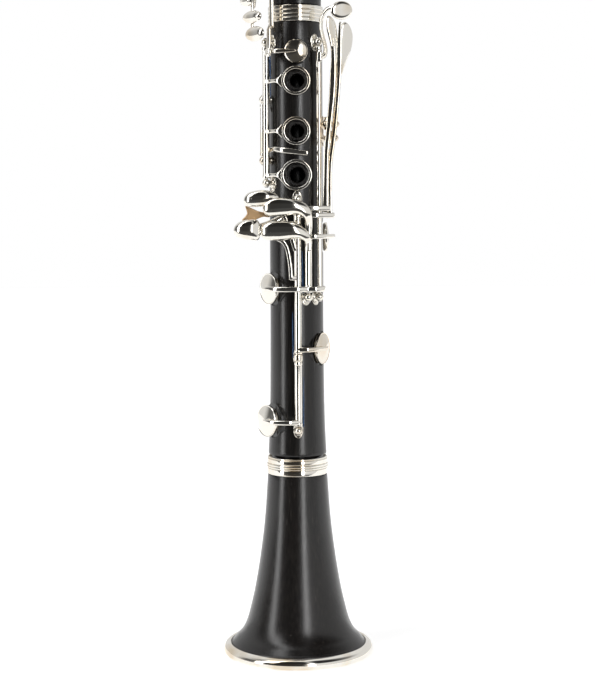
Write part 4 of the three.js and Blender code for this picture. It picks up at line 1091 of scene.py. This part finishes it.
def make_f_key():
    key = Key("f_key", 7)
    key.tube(191.9, 218.9, 2)
    outline = [(-19, 224), (-18.6, 226.4), (-16.4, 228.4), (-12, 229.4), (-6, 229.6), (-1, 228.8),
               (3, 226.4), (6.2, 222.6),
               (7.6, 218), (7.3, 214.4), (5.9, 213.6), (4.8, 215.6), (4.2, 218.4), (1.6, 220), (-2, 219.9),
               (-8, 219.2),
               (-14, 219.4), (-17.2, 220), (-18.6, 221.8)]
    spine = [(-14.6, 224.2), (-6, 224.5), (0, 224.1), (4, 221.6), (5.8, 218), (6.4, 215.4)]
    key.add(faced(elbowed(touch(outline, spine, -22), 2, 222.5, 3.2), 6.4, -20.4, 7))
    key.add(block((6.1, -19.8, 216.2), (2.4, 3.4, 4.6)))
    key.cup(*F_PAD)
    path = [(14.4, -18.6), (10, -20.9), (5.4, -20.2), (0.8, -21.8), (-4.4, -21.2), (-10.8, -18.6),
            (-16, -13), (-17, -9.4),
            (-15.2, -7.8)]
    sizes = [(3.4, 1.4)] + [(2.7, 1.6)] * 5 + [(2.6, 1.6), (2.2, 1.3), (1.2, 0.9)]
    key.add(level_arm(path, 193.7, sizes))
    key.add(block((6.1, -19.4, 193.7), (2.4, 2.6, 3)))
    key.finish()


def make_f_sharp_key():
    key = Key("f_sharp_key")
    key.tube(160.3, 233.7, 1.95)
    outline = [(-9, 241.4), (-11, 244), (-15.4, 245.4), (-20.4, 245.4), (-24.8, 244.2), (-27, 241.9),
               (-27.2, 239.2),
               (-25.6, 237.2), (-20, 236.8), (-14.8, 237.6), (-10.6, 239.2)]
    key.add(touch(outline, [(-23, 240.9), (-17, 241.2), (-12.4, 241.2)], -22.4))
    key.add(long_bar([(-13, -21.8, 241.4), (-10.6, -20.2, 241.2), (-8, -19.8, 236), (-4.6, -19.9, 227),
                      (-0.6, -19.8, 214)],
                     [(4.2, 2.2), (3.4, 2), (2.4, 1.5), (2.2, 1.4), (2.2, 1.6)]))
    key.cup(*F_SHARP_PAD)
    key.add(level_arm([(0.8, -19.4), (6, -20.2), (12, -16.2), (15.9, -10.3), (15, -7)], 162,
                      [(3, 1.8), (2.5, 1.6), (2.4, 1.5), (2.2, 1.3), (1.2, 0.9)]))
    key.add(level_arm([(0.8, -19.6), (3.2, -21), (7.6, -21), (12.4, -20.4), (19.6, -16.4)], 232.3,
                      [(2.8, 1.5), (2.3, 1.3), (2.3, 1.3), (2.6, 1.3), (2.8, 1.3)]))
    key.finish()


def make_e_key():
    key = Key("e_key", 10)
    key.tube(122.1, 238.4, 1.35, 0)
    key.tube(122.1, 155.6, 1.95)
    key.tube(234, 238.4, 1.95, 0.1)
    outline = [(-19.5, 224.6), (-19.8, 228.4), (-21.6, 230.2), (-26, 230.2), (-30.4, 228.9), (-32.8, 226.4),
               (-33, 223.4),
               (-31, 221), (-26, 219.7), (-21.2, 219.4), (-19.7, 221)]
    key.add(faced(touch(outline, [(-28.4, 224.8), (-24, 224.9)], -19.4), -20, -19.4, 10))
    web = [(-26.2, 237.4), (-22.6, 236), (-19.4, 234.6), (-14, 233.2), (-13.8, 231.4), (-17, 231.6),
           (-20.2, 230.4),
           (-24, 228.6), (-28, 229.8), (-26.6, 231.6), (-25.4, 233.4), (-25.8, 235.4)]
    plate = faced(moved(pebble(web, 0.5, 0.4, 0.7), front_frame(-14.4)), -16, -14.4, 10)
    # The web's brown is painted shade and painted reflection of the wood; the web is silver like the rest of the
    # key.
    piece("e_key_web", [moved(plate, key.turn)], PAINTED_SHADE_METAL, BODY_OF["e_key"])
    key.add(long_bar([(0, -18.4, 236.2), (-4, -16.5, 234.6), (-8.4, -15.6, 231), (-15, -16, 227.6),
                      (-22, -17.4, 225)],
                     [(2.4, 1.5), (2.2, 1.4), (2.6, 1.4), (3.6, 1.4), (5, 1.8)]))
    key.add(long_bar([(-22, -17.8, 224), (-14, -17.9, 221.4), (-6.4, -19, 217.6), (-3.9, -19.6, 208),
                      (-3.2, -19.8, 199)],
                     [(3.4, 1.6), (2.2, 1.4), (2, 1.4), (2, 1.4), (2, 1.4)]))
    key.add(level_arm([(-3.2, -19.8), (-1.4, -19.6), (0.4, -19.2)], 199.6, (2.6, 1.4)))
    key.cup(*E_PAD)
    key.add(level_arm([(0.4, -19.6), (-5.6, -20.4), (-12.6, -17), (-16.5, -11.9), (-16, -8.6)], 124,
                      [(3, 1.8), (2.5, 1.6), (2.5, 1.6), (2.3, 1.4), (1.2, 0.9)]))
    key.add(level_arm([(0.8, -19.6), (2.7, -21.4), (7, -22.2), (12.2, -22.2), (17.5, -20.8)], 236,
                      [(2.8, 1.5), (2.3, 1.3), (2.3, 1.3), (2.6, 1.3), (2.8, 1.3)]))
    key.finish()


LEVERS = {
    "left_e_lever": {
        "foot": (15.2, -16.8, 234.2), "head": (19.7, -13.5, 318), "pin": 280.6, "post": 8,
                     "pivot": "left_e_pivot",
        "bar": [(15.2, -16.8, 234.2), (15.5, -16.6, 250), (16, -16.2, 266), (17.5, -15.2, 280.6),
                (18.9, -14.1, 294),
                (19.6, -13.6, 306), (19.8, -13.6, 316), (19.4, -13.9, 326)],
        "leaf": [(16.3, 336.2), (16.2, 331), (17.2, 326.6), (18.4, 321), (19, 315), (20.2, 310.6),
                 (21.6, 313), (22, 320),
                 (21.9, 328), (20.8, 334), (18.4, 337)],
        "front": (-13.6, 19, 0.8),
    },
    "left_f_sharp_lever": {
        "foot": (17.4, -14.9, 231.2), "head": (22.5, -10.5, 313), "pin": 273.2, "post": 5,
                           "pivot": "left_f_sharp_pivot",
        "bar": [(17.4, -14.9, 231.2), (17.5, -14.8, 250), (18.1, -14.4, 262), (19.7, -13.1, 273.2),
                (21.2, -11.7, 288),
                (22.2, -10.9, 302), (22.8, -11.3, 314), (23.2, -12, 325), (23.6, -12.3, 334)],
        "leaf": [(22.6, 304.5), (24.2, 306.5), (25.4, 310), (27, 314), (29, 319), (30.1, 324.4), (30, 329),
                 (28.2, 333.2),
                 (25.6, 334.4), (23.8, 331), (23, 322), (22.4, 312)],
        "front": (-10.6, 24, 0.7),
    },
}


def lever_axis(lever):
    """The middle of a rocking lever's pin, and the direction in which the pin runs."""
    foot, head = Vector(lever["foot"]), Vector(lever["head"])
    pivot = foot.lerp(head, (lever["pin"] - foot.z) / (head.z - foot.z))
    out = Vector((pivot.x, pivot.y, 0)).normalized()
    return pivot - out * 2.4, UP.cross(out)


def slanted_frame(y, x, slope):
    """A plane through a level line that falls away to one side, so that its face looks sideways."""
    return basis(Vector((1, slope, 0)), UP, Vector((slope, -1, 0)).normalized(),
                 Vector((0, y - slope * x, 0)))


def make_left_levers():
    for node, lever in LEVERS.items():
        centre, across = lever_axis(lever)
        count = len(lever["bar"])
        sizes = [(3, 1.8)] + [(2.4, 2)] * (count - 6) + [(2.6, 2), (3, 1.9), (3, 1.8), (2.2, 1.5), (1.2, 0.9)]
        saddle = pin(centre - across * 1.4, centre + across * 1.4, 1.8, 32)
        web_start = centre + Vector((centre.x, centre.y, 0)).normalized() * 0.6
        web = sweep([web_start - UP * 3, web_start, web_start + UP * 3], (2, 3.2), lambda point,
                    tangent: across)
        leaf = moved(pebble(lever["leaf"], 1.2, 0.7, 2.6, count=72), slanted_frame(*lever["front"]))
        bar = sweep(lever["bar"], sizes, lambda point, tangent: tangent.cross(Vector((-0.14, -1, 0))),
                    power=5)
        piece(node + "_metal", [bar, saddle, web, leaf], SILVER, BODY_OF[node], [node])
        ball = centre + across * lever["post"]
        make_pin_post(lever["pivot"], angle_of(ball), LOWER_RADIUS, radius_of(ball), lever["pin"],
                      centre - across * 1.8)


def make_left_f_lever():
    key = Key("left_f_lever")
    key.tube(191.9, 321.1, 1.5, 0.18)
    key.add(long_bar([(12.4, -14, 315.6), (15, -15.2, 316.2), (15.7, -15.6, 320), (14.4, -15.8, 325.6),
                      (13.3, -15.8, 331),
                      (13.9, -15.8, 336.4), (16.6, -15.8, 340.4), (20.6, -15.4, 342)],
                     [(2.6, 2.2), (2.4, 2), (2, 1.6), (2, 1.5), (2, 1.5), (2, 1.5), (2, 1.5), (1.6, 1.2)]))
    key.add(moved(pebble(oval(5.8, 4.9, 24.2, 340.1, 12), 1.3, 0.7, 3), slanted_frame(-15.4, 20, 0.45)))
    key.add(block((12.5, -14.3, 315.6), (2.6, 3.4, 4)))
    key.add(level_arm([(11.8, -13.4), (11, -15.2), (10.2, -16.8)], 193.7, (2.8, 1.4)))
    key.finish()


# Upper keys -------------------------------------------------------------------------------------------


def make_upper_rings():
    key = Key("first_finger_ring_key", -4.5)
    key.tube(427.1, 456.7, 1.8)
    key.cup(0, 13.5, 452, 5)
    key.ring(0, 15.4, 424, 7.5)
    key.add(level_arm([(-15, -10.4), (-13, -13), (-9.4, -15.8), (-6.6, -16.2)], [428.4, 428, 427, 425.6],
                      [(2.4, 1.8), (2.2, 1.6), (2.6, 1.5), (5, 1.2)]))
    key.add(front_arm(key.hinge, 452, 0.4, 17.2, (1.2, 0.8)))
    key.finish()
    key = Key("second_finger_ring_key", -4.5)
    key.tube(352.7, 422.1, 1.8)
    key.cup(0, 13.5, 387.5, 4.9)
    key.ring(0, 15.4, 402, 7.5)
    key.add(front_arm(key.hinge, 402, -6.9, 16.2, (7, 1.2)))
    key.add(front_arm(key.hinge, 387.5, 0.4, 17.2, (1.2, 0.8)))
    key.add(level_arm([(-15.2, -10.6), (-13.9, -13.2), (-12.2, -14.6)], 355.5, (4, 1.8)))
    key.add(long_bar([(*at(-40, 18.8), 357.5), (*at(-40, 18.9), 350), (*at(-40, 18.9), 340),
                      (*at(-40, 18.9), 331)],
                     [(3.4, 1.6), (3, 1.4), (3, 1.3), (3.2, 1.3)]))
    key.finish()
    path = [at(-72.7, 16.6), at(-63, 14.9), at(-52, 15), at(-40, 16.4), at(-18, 17.3), (5.4, -17.9)]
    strap = [(6.6, 379.6), (2.8, 379.8), (0.4, 381.6), (0, 386), (0, 393)]
    make_cross_key("cross_e_flat_key", (371.9, 382.1), (-95, 393), 4.8, 13.2, strap, path,
                   [377, 377.3, 377.6, 377.6, 377, 375.8])


def make_thumb_ring_key():
    key = Key("thumb_ring_key")
    key.tube(439.4, 457.1, 1.8)
    key.ring(180, 15.4, 452, 8.4)
    key.add(level_arm([(14.8, 11.8), (12.4, 14.6), (9.6, 16), (7.6, 16.2)], 452,
                      [(2.6, 1.8), (2.4, 1.6), (3.4, 1.5), (6.4, 1.2)]))
    key.add(level_arm([(15.8, 9.4), (17.4, 6), (17.9, 3), (17.8, 0)], 447,
                      [(3, 1.8), (2.6, 1.5), (2.6, 1.5), (3, 1.4)]))
    key.finish()


def make_right_side_keys():
    key = Key("g_sharp_key")
    key.tube(440.3, 458.7, 1.8)
    key.cup(80, 13.4, 467, 4.6)
    place = on_body(80, 16.6, 0)
    key.add(long_bar([place @ Vector(p) for p in ((-9.6, 456.2, -0.6), (-4, 457.6, 0), (-0.6, 461, 0),
                                                  (0, 467, 0))],
                     [(2.8, 1.6), (2.6, 1.5), (2.4, 1.4), (1.4, 0.9)]))
    key.add(level_arm([(13.2, -13.2), (11.8, -15.6), (9.4, -17.6)], 444, [(4, 1.8), (3.6, 1.6), (3.2, 1.4)]))
    key.add(touch(oval(3.8, 5.4, 9.4, 443.4), [(9.4, 441.8), (9.4, 445)], -17.5, 1.4, 0.6))
    key.finish()
    key = Key("c_sharp_key")
    key.tube(351.9, 374.7, 1.8)
    key.cup(20, 13.4, 352.5, 5.4)
    key.add(level_arm([(15.4, -9.6), (12.8, -14.4), (8.8, -16.8), (6, -16.6)], 354.2,
                      [(2.8, 1.8), (2.4, 1.6), (2.2, 1.4), (1.2, 0.9)]))
    key.add(level_arm([(16.4, -9.6), (20, -12), (25, -12.4)], 367, [(3, 1.8), (2.8, 1.6), (3.2, 1.3)]))
    key.add(touch(oval(4.6, 7.4, 25.6, 365), [(25.6, 362.2), (25.6, 367.8)], -11.9, 1.6, 0.7))
    key.finish()


def on_pin(pin_place, degrees):
    square, z = pin_place
    radius = PIN_RADIUS / math.cos(math.radians(degrees - square))
    return Vector((*at(degrees, radius), z))


def make_rocker(node, degrees, span, pin_place, pad, pad_radius, seat, extras, spring_out=0.0):
    """A lever that rocks on a pin across the body, with a pad under its top end."""
    across = UP.cross(outward(pin_place[0]))
    centre = on_pin(pin_place, degrees)
    high = Vector((*at(degrees, 21.2), span[1]))
    foot = [Vector((*at(degrees, 21.2 + spring_out), span[0]))]
    if spring_out:
        foot += [Vector((*at(degrees, 21.2 + out), z)) for out, z in ((spring_out, 345),
                                                                      (spring_out * 0.6, 350), (0, 355))]
    bow = foot + [foot[-1].lerp(high, share) for share in (0.3, 0.6, 0.85, 1)]
    shells = [long_bar(bow, [(2.2, 1.5)] * (len(bow) - 2) + [(2.1, 1.5), (2, 1.4)])]
    shells.append(pin(centre - across * 1.2, centre + across * 1.2, 1.9, 32))
    cup_top = Vector((*at(pad[0], seat + 2.6), pad[1]))
    elbow = Vector((*at(degrees, 20.6), pad[1]))
    shells.append(pin(cup_top, elbow, 0.95))
    part = Key(node)
    part.shells += shells
    part.cup(*pad[:1], seat, pad[1], pad_radius, 3.3)
    part.add(*extras)
    part.finish()


SIDE_PINS = {
    "side_key_1_pivot": ((-84, 357.5), -72, -88), "side_key_2_pivot": ((-95, 404), -82, -99),
    "side_keys_back_pivot": ((-111.5, 425), -134, -102), "register_pivot": ((180, 490), 197, 176),
    "throat_a_pivot": ((5, 463), 24, 1),
}
SIDE_KEYS = [
    (-84, (-100, 374), "side_key_1_pivot", (-15.2, -0.5, 324.5, 332.5), [(-84, 23.2), (-76.5, 25.2)]),
    (-95, (-95, 430), "side_key_2_pivot", (-17.3, -2.7, 334.3, 341), [(-95, 23.2), (-93.5, 25.2),
                                                                      (-83.5, 26.4)]),
    (-106, (-106, 488), "side_keys_back_pivot", (-19.5, -9.2, 343.6, 350),
     [(-106, 23.2), (-104.5, 25.4), (-92, 26.6), (-85, 27.2)]),
    (-117, (-117, 502), "side_keys_back_pivot", (-21.5, -11.5, 352.5, 359),
     [(-117, 20.8), (-116.5, 25.4), (-100, 27), (-86, 27.6)]),
]


def make_rockers():
    for i, (degrees, pad, pivot, box, reach) in enumerate(SIDE_KEYS):
        left, right, bottom, top = box
        middle = (bottom + top) / 2
        outline = oval((right - left) / 2, (top - bottom) / 2, (left + right) / 2, middle)
        reach_in = (top - bottom) * 0.45
        face = moved(cushion(outline, [(left + reach_in, middle), (right - reach_in, middle)], 1.9, 0.7, 3),
                     on_body(-48, 21.7, 0))
        web = level_arm([at(*point) for point in reach], middle, [(3, 1.5)] * (len(reach) - 1) + [(4, 1.3)])
        make_rocker(f"side_key_{i + 1}", degrees, (bottom + 1, pad[1] + 1.2), SIDE_PINS[pivot][0], pad, 4.6,
                    13.2, [face, web],
                    2.0 if i < 3 else 0.0)
    thumb_touch = moved(pebble(oval(4.2, 7, 0, 467.5), 1.2, 0.5, 2.6), on_body(180, 21, 0))
    make_rocker("register_key", 180, (463, 514), SIDE_PINS["register_pivot"][0], (180, 513), 3.8, 15.8,
                [thumb_touch])
    throat_touch = moved(pebble(oval(3.6, 6.2, 0, 441), 1.2, 0.5, 2.4), on_body(5, 21, 0))
    make_rocker("throat_a_key", 5, (438, 481), SIDE_PINS["throat_a_pivot"][0], (0, 480), 4.6, 13.4,
                [throat_touch])
    for node, (place, post, end) in SIDE_PINS.items():
        ball = on_pin(place, post)
        make_pin_post(node, post, UPPER_RADIUS, radius_of(ball), place[1], on_pin(place, end), foot=False)


def make_back_fittings():
    foot = wrapped(pebble(oval(5.4, 10, 0, 0), 0.9, 0.3, 0.7), 180, LOWER_RADIUS, 290)
    hook = sweep([(0, 15.6, 281.4), (0, 17.4, 283.4), (0, 19.6, 285.8), (0, 24.6, 287.8), (0, 32.4, 288.2)],
                 [(9.4, 1.5), (10, 2), (10.2, 2.2), (10.4, 2), (9.6, 1.7)], lambda point,
                 tangent: Vector((1, 0, 0)))
    shells = [foot, hook, pin((0, 14.4, 296), (0, 16, 296), 1.4)]
    for y in (284.6, 293.2, 297.4):
        shells += slotted_head(on_body(180, LOWER_RADIUS + 0.9, y), 1.3, 0.5)
    piece("thumb_rest_metal", shells, SILVER, "body", ["thumb_rest"])
    for node, z, inner, outer, top in (("thumb_bush", 452, 4.4, 5.9, 16.4),
                                       ("register_tube", 513, 1.5, 3, 15.4)):
        profile = rounded([(inner, 7.6), (outer - 0.3, 7.6), (outer - 0.3, 13.6), (outer, 14), (outer, top),
                           (inner, top)], 0.4, 3, closed=True)
        piece(node + "_metal", [moved(lathe(profile, 56, closed=True), on_body(180, 0, z))], SILVER, "body",
              [node])


make_bell()
make_lower_joint()
make_upper_joint()
make_barrel()
make_ferrules()
make_mouthpiece()
make_reed()
make_ligature()
make_lower_ring_key()
make_lower_cross_key()
make_a_flat_key()
make_f_key()
make_f_sharp_key()
make_e_key()
make_left_levers()
make_left_f_lever()
make_upper_rings()
make_thumb_ring_key()
make_right_side_keys()
make_rockers()
make_back_fittings()
make_middle_post()
make_hinge_posts("lower_ring_posts", "lower_ring_key", LOWER_RADIUS, [249.4, 323.6], [True, True])
make_hinge_posts("cross_b_posts", "cross_b_key", LOWER_RADIUS, [261.4, 293.8], [False, False])
make_hinge_posts("right_hand_posts", "a_flat_key", LOWER_RADIUS, [189.3, 234], [True, False])
make_hinge_posts("low_hinge_posts", "f_sharp_key", 14.5, [119.6, 240.9], [True, True])
make_hinge_posts("left_f_posts", "left_f_lever", LOWER_RADIUS, [189.3, 323.6], [True, True])
make_hinge_posts("upper_ring_posts", "first_finger_ring_key", UPPER_RADIUS, [350.2, 424.6, 459.2],
                 [True, False, True])
make_hinge_posts("cross_e_flat_posts", "cross_e_flat_key", UPPER_RADIUS, [369.5, 384.5], [False, False])
make_hinge_posts("thumb_posts", "thumb_ring_key", UPPER_RADIUS, [437, 459.5], [True, True])
make_hinge_posts("g_sharp_posts", "g_sharp_key", UPPER_RADIUS, [438, 461], [True, False])
make_hinge_posts("c_sharp_posts", "c_sharp_key", UPPER_RADIUS, [349.6, 377], [False, True])
make_spring("lower_ring_spring", "lower_ring_key", 321.5, 293.5, 1, "body")
make_spring("f_key_spring", "f_key", 191.5, 214, -1, "body")
make_spring("f_sharp_spring", "f_sharp_key", 157.5, 182, -1, "body")
make_spring("e_key_spring", "e_key", 121.5, 148, 1, "body")
make_spring("left_f_spring", "left_f_lever", 321.5, 296, 1, "body")
make_spring("second_ring_spring", "second_finger_ring_key", 422.5, 396, 1, "body")
make_spring("thumb_spring", "thumb_ring_key", 457.5, 441, 1, "body")


# Floor, light and camera --------------------------------------------------------------------------------


def make_floor():
    back, front, side = 4.0, -0.24, 4.0
    mesh = bpy.data.meshes.new("floor")
    mesh.from_pydata([(-side, front, -0.0004), (side, front, -0.0004), (side, back, -0.0004),
                      (-side, back, -0.0004)],
                     [], [(0, 1, 2, 3)])
    floor = bpy.data.objects.new("floor", mesh)
    floor.data.materials.append(floor_paper())
    bpy.context.scene.collection.objects.link(floor)


def make_tent():
    """A white light tent, open towards the camera. Its light is drawn by bearing and height: level strips,
    a dark front above and below them, and a pale back and roof."""
    world = bpy.data.worlds.new("tent")
    bpy.context.scene.world = world
    world.use_nodes = True
    nodes, links = world.node_tree.nodes, world.node_tree.links
    background = nodes["Background"]
    place = nodes.new("ShaderNodeTexCoord")
    parts = nodes.new("ShaderNodeSeparateXYZ")
    links.new(place.outputs["Generated"], parts.inputs["Vector"])

    def maths(operation, first, second):
        node = nodes.new("ShaderNodeMath")
        node.operation = operation
        for socket, value in zip(node.inputs, (first, second)):
            if isinstance(value, (int, float)):
                socket.default_value = value
            else:
                links.new(value, socket)
        return node.outputs["Value"]

    bearing = maths("ARCTAN2", parts.outputs["X"], maths("MULTIPLY", parts.outputs["Y"], -1.0))
    share = maths("ADD", maths("DIVIDE", bearing, 2 * math.pi), 0.5)

    def round_horizon(strips):
        return ramp(nodes, links, share, [(0.5 + degrees / 360, (value / PEAK,) * 3) for degrees,
                                          value in strips])

    level = round_horizon(LEVEL_LIGHT)
    above = round_horizon(HIGH_LIGHT)
    below = round_horizon(LOW_LIGHT)
    roof = nodes.new("ShaderNodeRGB")
    roof.outputs[0].default_value = (*(ROOF_LIGHT / PEAK,) * 3, 1)
    height = maths("ADD", maths("MULTIPLY", parts.outputs["Z"], 0.5), 0.5)
    lift = ramp(nodes, links, height, [(0.5, (0, 0, 0)), (0.72, (0, 0, 0)), (0.79, (1, 1, 1)),
                                       (1, (1, 1, 1))])
    drop = ramp(nodes, links, height, [(0, (1, 1, 1)), (0.36, (1, 1, 1)), (0.43, (0, 0, 0)),
                                       (0.5, (0, 0, 0))])
    crown = ramp(nodes, links, height, [(0.5, (0, 0, 0)), (0.985, (0, 0, 0)), (0.996, (1, 1, 1)),
                                        (1, (1, 1, 1))])
    colours = blend_colours(nodes, links, lift, level, above)
    colours = blend_colours(nodes, links, crown, colours, roof.outputs[0])
    colours = blend_colours(nodes, links, drop, colours, below)
    seen = nodes.new("ShaderNodeLightPath")
    paper = nodes.new("ShaderNodeRGB")
    paper.outputs[0].default_value = (1 / PEAK, 1 / PEAK, 1 / PEAK, 1)
    links.new(blend_colours(nodes, links, seen.outputs["Is Camera Ray"], colours, paper.outputs[0]),
              background.inputs["Color"])
    background.inputs["Strength"].default_value = PEAK


def make_camera():
    """Level with the little finger keys, with the frame shifted down to take in the floor."""
    camera = bpy.data.cameras.new("camera")
    camera.sensor_width = 36
    camera.lens = 81.75
    camera.shift_x = 0.0016
    camera.shift_y = -0.1986
    camera.clip_start = 0.05
    holder = bpy.data.objects.new("camera", camera)
    bpy.context.scene.collection.objects.link(holder)
    holder.matrix_world = (Matrix.Translation((0, -0.85, 0.2346)) @ Matrix.Rotation(math.radians(90), 4, "X")
                           @ Matrix.Rotation(math.radians(-0.28), 4, "Z"))
    bpy.context.scene.camera = holder


make_floor()
make_tent()
make_camera()
bpy.context.scene.view_settings.view_transform = "Standard"
